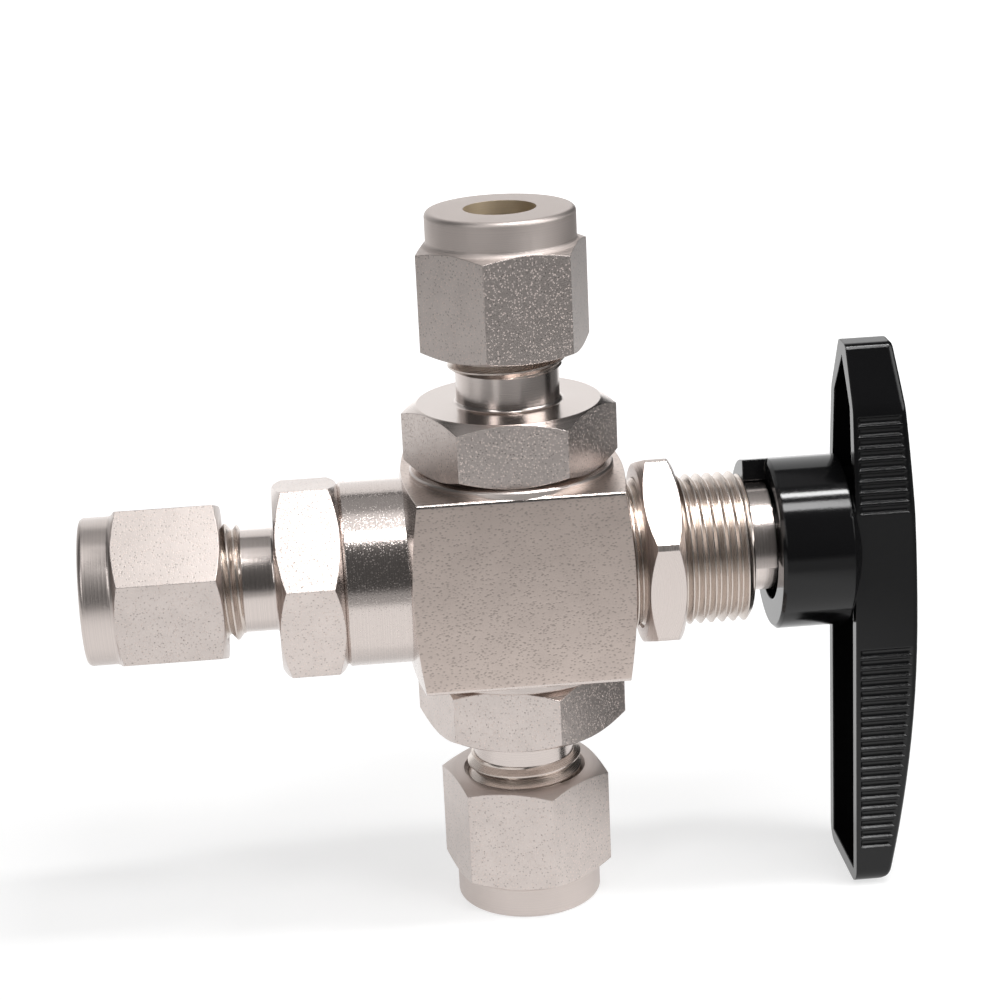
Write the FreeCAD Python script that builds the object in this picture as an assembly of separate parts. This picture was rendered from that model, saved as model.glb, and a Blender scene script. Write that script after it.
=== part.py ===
import FreeCAD, Part
import math
import os

os.makedirs("parts", exist_ok=True)

# A compact three-way ball valve for small tubing, in millimetres.
# The stem points along +X to the handle, one side port points up (+Z), one points down, and the
# common port points along -X. The origin is where the stem axis meets the panel seat, which is
# the flat face of the block round the threaded bonnet.

# Clearances.
RUNNING_GAP = 0.05
FIXED_GAP = 0.02
FACE_GAP = 0.02

# How far a cutting shape runs past what it cuts.
OVERCUT = 1.0

# Block, barrel and bonnet of the one-piece body.
BLOCK_LENGTH = 20.8
BLOCK_WIDTH = 19.3
SIDE_PORT_FACE = 9.85
LAND_HEIGHT = 0.6
LAND_EDGE = 0.15
BLOCK_EDGE_RADIUS = 0.35
END_CHAMFER_ANGLE = 12.3
END_FLAT_RADIUS = 9.1
BARREL_RADIUS = 8.75
BARREL_LENGTH = 6.05
BARREL_EDGE = 0.3
BONNET_THREAD_RADIUS = 7.15
BONNET_LENGTH = 11.5
BONNET_EDGE = 0.6

# Ball, its L-shaped bore and its seats.
BALL_RADIUS = 5.0
FLOW_RADIUS = 2.2
BALL_ROOM = 0.15
SLOT_DEPTH = 1.1
SLOT_WIDTH = 2.2
SEAT_OUTER_RADIUS = 3.9
SEAT_FRONT = 3.95
SEAT_LENGTH = 2.65
SEAT_RECESS = 1.0

# End connectors: spigot, hexagon, neck and the male thread of the tube fitting.
SPIGOT_RADIUS = 6.0
SPIGOT_EDGE = 0.25
HEX_INSIDE_BLOCK = 1.9
CONNECTOR_HEX_LENGTH = 6.1
HEX_CHAMFER_ANGLE = 30.0
HEX_FACE_SHARE = 0.985
NECK_RADIUS = 4.83
NECK_LENGTH = 3.2
NECK_ROOT = 0.4
TUBE_THREAD_RADIUS = 5.5
TUBE_THREAD_LENGTH = 9.0
TUBE_THREAD_EDGE = 0.25
SEAL_WIDTH = 1.0
SEAL_THICKNESS = 0.8

# Tube socket and its two ferrules, for a tube 6.35 across.
TUBE_RADIUS = 3.175
TUBE_ROOM = 0.075
SOCKET_LENGTH = 6.6
MOUTH_LENGTH = 2.4
MOUTH_ANGLE = 18.0
FRONT_FERRULE_LENGTH = 3.3
FRONT_FERRULE_RADIUS = 4.45
FRONT_FERRULE_NOSE = 1.9
BACK_FERRULE_LENGTH = 1.7
BACK_FERRULE_RADIUS = 4.55
BACK_FERRULE_NOSE = 0.5

# Tube nuts.
NUT_HEX = 14.2875
NUT_CHAMFER_ANGLE = 22.0
NUT_LENGTH = 13.1
NUT_SHOULDER_LENGTH = 3.1
NUT_SHOULDER_RADIUS = 6.95
NUT_SHOULDER_EDGE = 0.5
NUT_SHOULDER_ROOT = 0.6
NUT_ENGAGEMENT = 7.2
NUT_MOUTH_EDGE = 0.35

# Directions of the hexagon corners, in degrees. On the upright ports they turn from the front
# (-Y) to the right (+X), and on the lying ones from the front to the top (+Z).
TOP_NUT_CORNER = -16.9
BOTTOM_NUT_CORNER = 13.1
LEFT_NUT_CORNER = 20.2
TOP_CONNECTOR_CORNER = -33.2
BOTTOM_CONNECTOR_CORNER = 16.0
LEFT_CONNECTOR_CORNER = 10.8
PANEL_NUT_CORNER = 20.3

# Panel nut.
PANEL_NUT_HEX = 17.0
PANEL_NUT_LENGTH = 3.5
PANEL_NUT_START = 1.25
PANEL_NUT_ROUND = 9.66

# Stem and its thrust washer.
STEM_RADIUS = 2.4
STEM_SQUARE = 3.3
STEM_COLLAR_RADIUS = 3.4
STEM_COLLAR_LENGTH = 1.0
TANG_SPAN = 6.0
TANG_END_GAP = 0.1
COLLAR_ROOM = 0.2
WASHER_THICKNESS = 0.58
STEM_NECK_LENGTH = 4.55

# Stem packing, gland and coned springs, stacked from the packing chamber's floor outwards.
PACKING_RADIUS = 4.0
PACKING_RING_LENGTH = 1.6
PACKING_VEE = 0.5
GLAND_LENGTH = 1.8
SPRING_THICKNESS = 0.4
SPRING_CONE = 0.25
SPRING_OUTER_RADIUS = 3.85

# Packing bolt with its stop sector.
BOLT_THREAD_RADIUS = 4.6
BOLT_HEAD_RADIUS = 4.35
BOLT_HEAD_LENGTH = 3.9
SECTOR_RADIUS = 6.0
SECTOR_LENGTH = 2.08
SECTOR_START_ANGLE = -4.0
SECTOR_SPAN = 152.0

# Handle.
TURN = 180.0
FULL_TURN = 360.0
STOP_ROOM_ANGLE = 0.5
HUB_START = 13.86
HUB_RADIUS = 8.17
HUB_EDGE = 0.3
CUP_RADIUS = 5.36
CUP_DEPTH = 2.34
STOP_LUG_RADIUS = 7.0
STOP_LUG_DEPTH = 2.16
SKIRT_ROOM = 0.15
SKIRT_START_ANGLE = 98.0
HANDLE_RIM = 21.1
HANDLE_CROWN = 6.0
HANDLE_WALL = 1.3
HANDLE_HALF_WIDTH = 5.9
LONG_ARM = 34.0
SHORT_ARM = 19.4
SHOULDER_HEIGHT = 13.9
SHOULDER_HALF_WIDTH = 4.7
SHOULDER_ROUND = 2.5
TIP_HALF_WIDTH = 1.4
TIP_ROUND = 0.9
STRAIGHT_TOP = 4.0
TAPER_ROUND = 12.0
CREST_HEIGHT = -7.5
TIP_DEPTH = 4.5
END_DEPTH = 3.2
END_ROUND = 1.6
HANDLE_CORNER = 1.8
HANDLE_EDGE = 0.45
HUB_SHOULDER = 0.5
HUB_BLEND = 0.9
SOCKET_ROOF = 1.3
CORE_ROOT = 2.0
STEM_END_GAP = 0.4
SET_SCREW_RADIUS = 1.5
SET_SCREW_PLACE = 18.6
SET_SCREW_SUNK = 0.4
SET_SCREW_KEY = 1.5
SET_SCREW_KEY_DEPTH = 1.6

# Grip grooves across both flanks of each arm.
GROOVE_PITCH = 1.04
GROOVE_WIDTH = 0.84
GROOVE_DEPTH = 0.26
GROOVE_INSET = 0.4
GROOVE_LAND = 0.1
GROOVE_END_RUN = 0.3
GROOVE_FLATS = 4
SHORT_ARM_GROOVES = (4.5, 12.9)
LONG_ARM_GROOVES = (9.8, 29.6)

# Places that follow from the sizes above.
BALL_X = -BLOCK_LENGTH / 2
CONNECTOR_HEX = BLOCK_WIDTH - HEX_INSIDE_BLOCK
LEFT_PORT_FACE = BLOCK_LENGTH / 2 + BARREL_LENGTH
SEAT_BACK = SEAT_FRONT + SEAT_LENGTH
CONNECTOR_END = SEAT_BACK - SEAT_RECESS
CHAMBER_RADIUS = BALL_RADIUS + BALL_ROOM
CHAMBER_END = BALL_X + CHAMBER_RADIUS
COLLAR_START = CHAMBER_END + COLLAR_ROOM
COLLAR_END = COLLAR_START + STEM_COLLAR_LENGTH
WASHER_END = COLLAR_END + WASHER_THICKNESS + FACE_GAP
PACKING_START = WASHER_END + FACE_GAP + STEM_NECK_LENGTH
LOWER_RING_END = PACKING_START + FACE_GAP + PACKING_RING_LENGTH
UPPER_RING_END = LOWER_RING_END + FACE_GAP + PACKING_RING_LENGTH
GLAND_END = UPPER_RING_END + FACE_GAP + GLAND_LENGTH
SPRING_HEIGHT = SPRING_THICKNESS + SPRING_CONE
LOWER_SPRING_END = GLAND_END + FACE_GAP + SPRING_HEIGHT
UPPER_SPRING_END = LOWER_SPRING_END + FACE_GAP + SPRING_HEIGHT
BOLT_START = UPPER_SPRING_END + FACE_GAP
CUP_FLOOR = HUB_START + CUP_DEPTH
HANDLE_TOP = HANDLE_RIM + HANDLE_CROWN
STEM_END = HANDLE_TOP - HANDLE_WALL - SOCKET_ROOF - STEM_END_GAP
BORE_RADIUS = TUBE_RADIUS + TUBE_ROOM
SOCKET_START = CONNECTOR_HEX_LENGTH + NECK_LENGTH + TUBE_THREAD_LENGTH - MOUTH_LENGTH - SOCKET_LENGTH
THREAD_END = CONNECTOR_HEX_LENGTH + NECK_LENGTH + TUBE_THREAD_LENGTH
LUG_SPAN = FULL_TURN - SECTOR_SPAN - TURN - 2 * STOP_ROOM_ANGLE

PORTS = {
    "top": {"face": SIDE_PORT_FACE, "nut": TOP_NUT_CORNER, "connector": TOP_CONNECTOR_CORNER},
    "bottom": {"face": SIDE_PORT_FACE, "nut": BOTTOM_NUT_CORNER, "connector": BOTTOM_CONNECTOR_CORNER},
    "left": {"face": LEFT_PORT_FACE, "nut": LEFT_NUT_CORNER, "connector": LEFT_CONNECTOR_CORNER},
}


def vec(x, y, z):
    return FreeCAD.Vector(x, y, z)


X_AXIS = vec(1, 0, 0)
Y_AXIS = vec(0, 1, 0)
Z_AXIS = vec(0, 0, 1)
CENTRE = vec(0, 0, 0)


def turned(points, bends=None):
    """A solid of revolution about Z from (radius, height) points.

    Bends give, by a point's index, the middle of the arc that leads from it to the next point.
    """
    bends = bends or {}
    corners = [vec(r, 0, h) for r, h in points]
    edges = []
    for k, corner in enumerate(corners):
        following = corners[(k + 1) % len(corners)]
        if k in bends:
            r, h = bends[k]
            edges.append(Part.Arc(corner, vec(r, 0, h), following).toShape())
        else:
            edges.append(Part.makeLine(corner, following))
    return Part.Face(Part.Wire(edges)).revolve(CENTRE, Z_AXIS, FULL_TURN)


def drum(radius, start, end):
    """A cylinder about Z between two heights."""
    return Part.makeCylinder(radius, end - start, vec(0, 0, start))


def hexagon(across_flats, start, end):
    """A hexagonal bar about Z with corners towards -Y and +Y."""
    reach = across_flats / math.sqrt(3)
    corners = []
    for k in range(6):
        angle = math.radians(60 * k - 90)
        corners.append(vec(reach * math.cos(angle), reach * math.sin(angle), start))
    corners.append(corners[0])
    return Part.Face(Part.makePolygon(corners)).extrude(vec(0, 0, end - start))


def hexagon_chamfer(across_flats, start, end, at_start, at_end):
    """The turned envelope that takes the corners off a hexagon's ends."""
    corner = across_flats / math.sqrt(3) + OVERCUT
    circle = across_flats / 2 * HEX_FACE_SHARE
    drop = (corner - circle) * math.tan(math.radians(HEX_CHAMFER_ANGLE))
    points = [(0, start)]
    if at_start:
        points += [(circle, start), (corner, start + drop)]
    else:
        points += [(corner, start)]
    if at_end:
        points += [(corner, end - drop), (circle, end)]
    else:
        points += [(corner, end)]
    points += [(0, end)]
    return turned(points)


def along_stem(shape):
    """Lay a shape made about Z onto the stem axis, with its +Z along +X."""
    shape = shape.copy()
    shape.rotate(CENTRE, Y_AXIS, 90)
    return shape


def at_port(shape, port):
    """Put a shape made about Z, with the ball's centre at its origin, onto a port."""
    shape = shape.copy()
    if port == "bottom":
        shape.rotate(CENTRE, X_AXIS, 180)
    if port == "left":
        shape.rotate(CENTRE, Y_AXIS, -90)
    shape.translate(vec(BALL_X, 0, 0))
    return shape


def turn_corner(shape, port, degrees):
    """Turn a shape on its port so that a hexagon corner faces the wanted way."""
    shape = shape.copy()
    if port == "left":
        shape.rotate(CENTRE, X_AXIS, -degrees)
    else:
        shape.rotate(vec(BALL_X, 0, 0), Z_AXIS, degrees)
    return shape


def sector(inner, outer, start, end, from_angle, span):
    """A ring sector about the stem; angles go from the front (-Y) over the top (+Z)."""
    ring = drum(outer, start, end).cut(drum(inner, start - OVERCUT, end + OVERCUT))
    reach = outer * 3
    steps = 8
    corners = [vec(0, 0, start - OVERCUT)]
    for k in range(steps + 1):
        angle = math.radians(from_angle + span * k / steps)
        corners.append(vec(reach * math.sin(angle), -reach * math.cos(angle), start - OVERCUT))
    corners.append(corners[0])
    wedge = Part.Face(Part.makePolygon(corners)).extrude(vec(0, 0, end - start + 2 * OVERCUT))
    piece = ring.common(wedge)
    # Laid on the stem axis, local X would point down, so it is mirrored to point up.
    piece = piece.mirror(CENTRE, X_AXIS)
    return along_stem(piece)


def make_body():
    half = BLOCK_WIDTH / 2
    flat = SIDE_PORT_FACE - LAND_HEIGHT
    block = Part.makeBox(BLOCK_LENGTH, BLOCK_WIDTH, 2 * flat, vec(-BLOCK_LENGTH, -half, -flat))
    long_edges = []
    for edge in block.Edges:
        if abs(edge.tangentAt(edge.FirstParameter).x) > 0.99:
            long_edges.append(edge)
    block = block.makeFillet(BLOCK_EDGE_RADIUS, long_edges)
    corner = math.hypot(half, flat) + OVERCUT
    setback = (corner - END_FLAT_RADIUS) * math.tan(math.radians(END_CHAMFER_ANGLE))
    envelope = turned([
        (0, -BLOCK_LENGTH),
        (END_FLAT_RADIUS, -BLOCK_LENGTH),
        (corner, -BLOCK_LENGTH + setback),
        (corner, -setback),
        (END_FLAT_RADIUS, 0),
        (0, 0),
    ])
    body = block.common(along_stem(envelope))

    # Round lands on the side ports, as wide as the block.
    land_radius = half - LAND_EDGE / 2
    land = turned([
        (0, 0),
        (land_radius, 0),
        (land_radius, SIDE_PORT_FACE - LAND_EDGE),
        (land_radius - LAND_EDGE, SIDE_PORT_FACE),
        (0, SIDE_PORT_FACE),
    ])
    for port in ("top", "bottom"):
        body = body.fuse(at_port(land, port))

    # Barrel for the common port.
    body = body.fuse(at_port(turned([
        (0, 0),
        (BARREL_RADIUS, 0),
        (BARREL_RADIUS, LEFT_PORT_FACE - BARREL_EDGE),
        (BARREL_RADIUS - BARREL_EDGE, LEFT_PORT_FACE),
        (0, LEFT_PORT_FACE),
    ]), "left"))

    # Bonnet with its thread, here at the thread's outside diameter.
    body = body.fuse(along_stem(turned([
        (0, -OVERCUT),
        (BONNET_THREAD_RADIUS, -OVERCUT),
        (BONNET_THREAD_RADIUS, BONNET_LENGTH - BONNET_EDGE),
        (BONNET_THREAD_RADIUS - BONNET_EDGE, BONNET_LENGTH),
        (0, BONNET_LENGTH),
    ])))

    # Port bores: thread, gasket seat and the window into the ball chamber.
    for port, data in PORTS.items():
        face = data["face"]
        past = face + OVERCUT
        bore = drum(SPIGOT_RADIUS + FIXED_GAP, CONNECTOR_END - FACE_GAP, past)
        gasket = drum(SPIGOT_RADIUS + SEAL_WIDTH + FIXED_GAP, face - SEAL_THICKNESS - FACE_GAP, past)
        window = drum(SEAT_OUTER_RADIUS + RUNNING_GAP, 0, CONNECTOR_END)
        body = body.cut(at_port(bore.fuse(gasket).fuse(window), port))

    # Ball chamber, open to the common port, then the stem's bores in a row.
    chamber = drum(CHAMBER_RADIUS, BALL_X - CONNECTOR_END, CHAMBER_END)
    collar_room = drum(STEM_COLLAR_RADIUS + 2 * COLLAR_ROOM, CHAMBER_END - OVERCUT, WASHER_END + FACE_GAP)
    stem_bore = drum(STEM_RADIUS + 2 * RUNNING_GAP, CHAMBER_END, PACKING_START + OVERCUT)
    packing_bore = drum(PACKING_RADIUS, PACKING_START, BOLT_START)
    bolt_bore = drum(BOLT_THREAD_RADIUS + FIXED_GAP, BOLT_START - FACE_GAP, BONNET_LENGTH + OVERCUT)
    for hole in (chamber, collar_room, stem_bore, packing_bore, bolt_bore):
        body = body.cut(along_stem(hole))
    return body.removeSplitter()


def make_connector(port, data):
    face = data["face"]
    hex_end = face + CONNECTOR_HEX_LENGTH
    thread_start = hex_end + NECK_LENGTH
    thread_end = face + THREAD_END
    hexed = hexagon(CONNECTOR_HEX, face, hex_end)
    hexed = hexed.common(hexagon_chamfer(CONNECTOR_HEX, face, hex_end, True, True))
    edge = TUBE_THREAD_EDGE
    # The neck rises from the hexagon with a small hollow round its root.
    hollow_eighth = NECK_ROOT * (1 - math.sqrt(0.5))
    core = turned([
        (0, CONNECTOR_END),
        (SPIGOT_RADIUS - SPIGOT_EDGE, CONNECTOR_END),
        (SPIGOT_RADIUS, CONNECTOR_END + SPIGOT_EDGE),
        (SPIGOT_RADIUS, face + CONNECTOR_HEX_LENGTH / 2),
        (NECK_RADIUS + NECK_ROOT, face + CONNECTOR_HEX_LENGTH / 2),
        (NECK_RADIUS + NECK_ROOT, hex_end),
        (NECK_RADIUS, hex_end + NECK_ROOT),
        (NECK_RADIUS, thread_start),
        (TUBE_THREAD_RADIUS - edge, thread_start),
        (TUBE_THREAD_RADIUS, thread_start + edge * 2),
        (TUBE_THREAD_RADIUS, thread_end - edge * 2),
        (TUBE_THREAD_RADIUS - edge, thread_end),
        (0, thread_end),
    ], {5: (NECK_RADIUS + hollow_eighth, hex_end + hollow_eighth)})
    mouth_wide = BORE_RADIUS + MOUTH_LENGTH * math.tan(math.radians(MOUTH_ANGLE))
    hollow = turned([
        (0, CONNECTOR_END - OVERCUT),
        (SEAT_OUTER_RADIUS + FIXED_GAP, CONNECTOR_END - OVERCUT),
        (SEAT_OUTER_RADIUS + FIXED_GAP, SEAT_BACK + FACE_GAP),
        (FLOW_RADIUS, SEAT_BACK + FACE_GAP),
        (FLOW_RADIUS, face + SOCKET_START),
        (BORE_RADIUS, face + SOCKET_START),
        (BORE_RADIUS, thread_end - MOUTH_LENGTH),
        (mouth_wide, thread_end),
        (mouth_wide, thread_end + OVERCUT),
        (0, thread_end + OVERCUT),
    ])
    piece = hexed.fuse(core).cut(hollow).removeSplitter()
    return turn_corner(at_port(piece, port), port, data["connector"])


def make_seal(port, data):
    face = data["face"]
    ring = drum(SPIGOT_RADIUS + SEAL_WIDTH, face - SEAL_THICKNESS, face - FACE_GAP)
    ring = ring.cut(drum(SPIGOT_RADIUS + FIXED_GAP, face - SEAL_THICKNESS - OVERCUT, face + OVERCUT))
    return at_port(ring, port)


def make_seat(port):
    ring = drum(SEAT_OUTER_RADIUS, SEAT_FRONT, SEAT_BACK)
    ring = ring.cut(drum(FLOW_RADIUS, SEAT_FRONT - OVERCUT, SEAT_BACK + OVERCUT))
    ring = ring.cut(Part.makeSphere(BALL_RADIUS + FACE_GAP))
    return at_port(ring, port)


def make_front_ferrule(port, data):
    # The nose lies in the connector's cone, and the back is hollowed for the back ferrule.
    start = data["face"] + THREAD_END - FRONT_FERRULE_NOSE
    end = start + FRONT_FERRULE_LENGTH
    slope = math.tan(math.radians(MOUTH_ANGLE))
    depth_in_mouth = MOUTH_LENGTH - FRONT_FERRULE_NOSE
    nose = BORE_RADIUS + depth_in_mouth * slope - RUNNING_GAP
    at_face = BORE_RADIUS + MOUTH_LENGTH * slope - RUNNING_GAP
    ring = turned([
        (BORE_RADIUS, start),
        (nose, start),
        (at_face, start + FRONT_FERRULE_NOSE),
        (FRONT_FERRULE_RADIUS, start + FRONT_FERRULE_NOSE + 0.4),
        (FRONT_FERRULE_RADIUS, end - 0.15),
        (FRONT_FERRULE_RADIUS - 0.15, end),
        (BORE_RADIUS + BACK_FERRULE_NOSE + FACE_GAP, end),
        (BORE_RADIUS, end - BACK_FERRULE_NOSE),
    ])
    return at_port(ring, port)


def back_ferrule_start(face):
    """Where the back ferrule's wide face meets the front ferrule, from the ball's centre."""
    return face + THREAD_END - FRONT_FERRULE_NOSE + FRONT_FERRULE_LENGTH + FACE_GAP


def make_back_ferrule(port, data):
    start = back_ferrule_start(data["face"])
    end = start + BACK_FERRULE_LENGTH
    ring = turned([
        (BORE_RADIUS, start - BACK_FERRULE_NOSE),
        (BORE_RADIUS + BACK_FERRULE_NOSE, start),
        (BACK_FERRULE_RADIUS, start),
        (BACK_FERRULE_RADIUS, start + 0.7),
        (BORE_RADIUS + 0.5, end),
        (BORE_RADIUS, end),
    ])
    return at_port(ring, port)


def nut_envelope(inner, hex_end, outer):
    """The turned outside of a tube nut: two chamfers, a hollow root and a round shoulder."""
    slope = math.radians(NUT_CHAMFER_ANGLE)
    corner = NUT_HEX / math.sqrt(3) + OVERCUT
    circle = NUT_HEX / 2 * HEX_FACE_SHARE
    drop = (corner - circle) * math.tan(slope)
    # The root's arc touches the chamfer's cone and the shoulder, which meet at the foot.
    foot = hex_end + (circle - NUT_SHOULDER_RADIUS) * math.tan(slope)
    reach = NUT_SHOULDER_ROOT * math.tan((math.pi / 2 - slope) / 2)
    arc_centre = (NUT_SHOULDER_RADIUS + NUT_SHOULDER_ROOT, foot + reach)
    halfway = (math.pi / 2 - slope) / 2
    middle = (arc_centre[0] - NUT_SHOULDER_ROOT * math.cos(halfway),
              arc_centre[1] - NUT_SHOULDER_ROOT * math.sin(halfway))
    # The shoulder's end is rounded by a quarter of a circle.
    edge = NUT_SHOULDER_EDGE
    eighth = edge * (1 - math.sqrt(0.5))
    rolled = (NUT_SHOULDER_RADIUS - eighth, outer - eighth)
    return turned([
        (0, inner),
        (circle, inner),
        (corner, inner + drop),
        (corner, hex_end - drop),
        (NUT_SHOULDER_RADIUS + reach * math.cos(slope), foot - reach * math.sin(slope)),
        (NUT_SHOULDER_RADIUS, foot + reach),
        (NUT_SHOULDER_RADIUS, outer - edge),
        (NUT_SHOULDER_RADIUS - edge, outer),
        (0, outer),
    ], {4: middle, 6: rolled})


def make_tube_nut(port, data):
    face = data["face"]
    thread_end = face + THREAD_END
    inner = thread_end - NUT_ENGAGEMENT
    outer = inner + NUT_LENGTH
    hex_end = outer - NUT_SHOULDER_LENGTH
    envelope = nut_envelope(inner, hex_end, outer)
    # The thread runs past the ferrules, then a cone closes on the back ferrule's slope.
    thread = TUBE_THREAD_RADIUS + RUNNING_GAP
    back_start = back_ferrule_start(face)
    back_end = back_start + BACK_FERRULE_LENGTH
    room = BACK_FERRULE_RADIUS + 2 * RUNNING_GAP
    clear = BORE_RADIUS + 2 * RUNNING_GAP
    hollow = turned([
        (0, inner - OVERCUT),
        (thread + NUT_MOUTH_EDGE, inner - OVERCUT),
        (thread + NUT_MOUTH_EDGE, inner),
        (thread, inner + NUT_MOUTH_EDGE),
        (thread, thread_end + RUNNING_GAP),
        (room, thread_end + 0.6),
        (room, back_start + 0.7 + RUNNING_GAP),
        (BORE_RADIUS + 0.5 + RUNNING_GAP, back_end + RUNNING_GAP),
        (clear, back_end + RUNNING_GAP),
        (clear, outer + OVERCUT),
        (0, outer + OVERCUT),
    ])
    piece = hexagon(NUT_HEX, inner, outer).common(envelope).cut(hollow)
    return turn_corner(at_port(piece, port), port, data["nut"])


def make_panel_nut():
    start = PANEL_NUT_START
    end = start + PANEL_NUT_LENGTH
    nut = hexagon(PANEL_NUT_HEX, start, end)
    nut = nut.common(hexagon_chamfer(PANEL_NUT_HEX, start, end, True, True))
    nut = nut.common(drum(PANEL_NUT_ROUND, start, end))
    nut = nut.cut(drum(BONNET_THREAD_RADIUS + RUNNING_GAP, start - OVERCUT, end + OVERCUT))
    nut = along_stem(nut)
    nut.rotate(CENTRE, X_AXIS, -PANEL_NUT_CORNER)
    return nut


def make_ball():
    ball = Part.makeSphere(BALL_RADIUS)
    # One bore is always open to the common port, the other turns with the handle.
    to_common = drum(FLOW_RADIUS, 0, BALL_RADIUS + OVERCUT)
    to_common.rotate(CENTRE, Y_AXIS, -90)
    to_side = drum(FLOW_RADIUS, 0, BALL_RADIUS + OVERCUT)
    elbow = Part.makeSphere(FLOW_RADIUS)
    ball = ball.cut(to_common.fuse(to_side).fuse(elbow))
    slot = Part.makeBox(
        SLOT_DEPTH + OVERCUT, 2 * (BALL_RADIUS + OVERCUT), SLOT_WIDTH,
        vec(BALL_RADIUS - SLOT_DEPTH, -BALL_RADIUS - OVERCUT, -SLOT_WIDTH / 2))
    ball = ball.cut(slot)
    ball.translate(vec(BALL_X, 0, 0))
    return ball


def make_stem():
    square = STEM_SQUARE
    tang_start = BALL_X + BALL_RADIUS - SLOT_DEPTH + TANG_END_GAP
    tang_thickness = SLOT_WIDTH - 2 * RUNNING_GAP
    tang = Part.makeBox(
        COLLAR_START - tang_start + STEM_COLLAR_LENGTH / 2, TANG_SPAN, tang_thickness,
        vec(tang_start, -TANG_SPAN / 2, -tang_thickness / 2))
    square_start = CUP_FLOOR
    stem = along_stem(turned([
        (0, COLLAR_START),
        (STEM_COLLAR_RADIUS, COLLAR_START),
        (STEM_COLLAR_RADIUS, COLLAR_END),
        (STEM_RADIUS, COLLAR_END),
        (STEM_RADIUS, square_start - RUNNING_GAP),
        (0, square_start - RUNNING_GAP),
    ]))
    end = Part.makeBox(
        STEM_END - square_start + square, square, square,
        vec(square_start - square, -square / 2, -square / 2))
    return stem.fuse(tang).fuse(end).removeSplitter()


def make_washer():
    washer = drum(STEM_COLLAR_RADIUS, COLLAR_END + FACE_GAP, WASHER_END)
    washer = washer.cut(drum(STEM_RADIUS + RUNNING_GAP, COLLAR_END - OVERCUT, WASHER_END + OVERCUT))
    return along_stem(washer)


def packing_ring(start, end, hollow_end, hollow_start):
    """A packing ring, with a vee in its outer face, and one that fills such a vee at its start."""
    inner = STEM_RADIUS + RUNNING_GAP
    outer = PACKING_RADIUS - FIXED_GAP
    middle = (inner + outer) / 2
    points = [(inner, start)]
    if hollow_start:
        points += [(middle, start - PACKING_VEE)]
    points += [(outer, start), (outer, end)]
    if hollow_end:
        points += [(middle, end - PACKING_VEE)]
    points += [(inner, end)]
    return along_stem(turned(points))


def make_gland():
    gland = drum(PACKING_RADIUS - FIXED_GAP, UPPER_RING_END + FACE_GAP, GLAND_END)
    hole = drum(STEM_RADIUS + 2 * RUNNING_GAP, UPPER_RING_END - OVERCUT, GLAND_END + OVERCUT)
    gland = gland.cut(hole)
    return along_stem(gland)


def make_spring(start, opens_out):
    inner = STEM_RADIUS + 4 * RUNNING_GAP
    outer = SPRING_OUTER_RADIUS
    low = start
    high = start + SPRING_CONE
    if opens_out:
        inside, outside = high, low
    else:
        inside, outside = low, high
    return along_stem(turned([
        (inner, inside),
        (outer, outside),
        (outer, outside + SPRING_THICKNESS),
        (inner, inside + SPRING_THICKNESS),
    ]))


def make_packing_bolt():
    head_end = BONNET_LENGTH + BOLT_HEAD_LENGTH
    bolt = along_stem(turned([
        (STEM_RADIUS + 2 * RUNNING_GAP, BOLT_START),
        (BOLT_THREAD_RADIUS, BOLT_START),
        (BOLT_THREAD_RADIUS, BONNET_LENGTH - 0.3),
        (BOLT_HEAD_RADIUS, BONNET_LENGTH - 0.3),
        (BOLT_HEAD_RADIUS, head_end - 0.3),
        (BOLT_HEAD_RADIUS - 0.3, head_end),
        (STEM_RADIUS + 2 * RUNNING_GAP, head_end),
    ]))
    start = BONNET_LENGTH + RUNNING_GAP
    stop = sector(BOLT_HEAD_RADIUS - 0.5, SECTOR_RADIUS, start, start + SECTOR_LENGTH,
                  SECTOR_START_ANGLE, SECTOR_SPAN)
    return bolt.fuse(stop).removeSplitter()


def rounded_outline(corners):
    """A closed wire in the YZ plane through (y, z, radius) corners, each rounded by its radius."""
    points = [vec(0, y, z) for y, z, _ in corners]
    edges = []
    last = None
    first = None
    for k, (_, _, radius) in enumerate(corners):
        point = points[k]
        back = (points[k - 1] - point).normalize()
        ahead = (points[(k + 1) % len(points)] - point).normalize()
        half_angle = back.getAngle(ahead) / 2
        reach = radius / math.tan(half_angle)
        start = point + back * reach
        end = point + ahead * reach
        inward = (back + ahead).normalize()
        middle = point + inward * (radius / math.sin(half_angle) - radius)
        if last is not None:
            edges.append(Part.makeLine(last, start))
        else:
            first = start
        edges.append(Part.Arc(start, middle, end).toShape())
        last = end
    edges.append(Part.makeLine(last, first))
    return Part.Wire(edges)


def plan_sides(inset):
    """Right-hand corners of the handle's plan, from the blunt end to the tip."""
    return [
        (HANDLE_HALF_WIDTH - inset, -LONG_ARM + inset),
        (HANDLE_HALF_WIDTH - inset, STRAIGHT_TOP),
        (SHOULDER_HALF_WIDTH - inset, SHOULDER_HEIGHT),
    ]


def outer_plan():
    """The handle seen along the stem, with rounded corners, as a deep block."""
    rounds = (HANDLE_CORNER, TAPER_ROUND, SHOULDER_ROUND)
    side = [(y, z, radius) for (y, z), radius in zip(plan_sides(0), rounds)]
    side.append((TIP_HALF_WIDTH, SHORT_ARM, TIP_ROUND))
    corners = side + [(-y, z, radius) for y, z, radius in reversed(side)]
    return Part.Face(rounded_outline(corners)).extrude(vec(2 * HANDLE_TOP, 0, 0))


def inner_plan():
    """The hollow's plan: a wall inside the outer one, ending in a point under the tip."""
    side = plan_sides(HANDLE_WALL)
    corners = side + [(0, SHORT_ARM - HANDLE_WALL)] + [(-y, z) for y, z in reversed(side)]
    points = [vec(0, y, z) for y, z in corners]
    return Part.Face(Part.makePolygon(points + [points[0]])).extrude(vec(2 * HANDLE_TOP, 0, 0))


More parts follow.
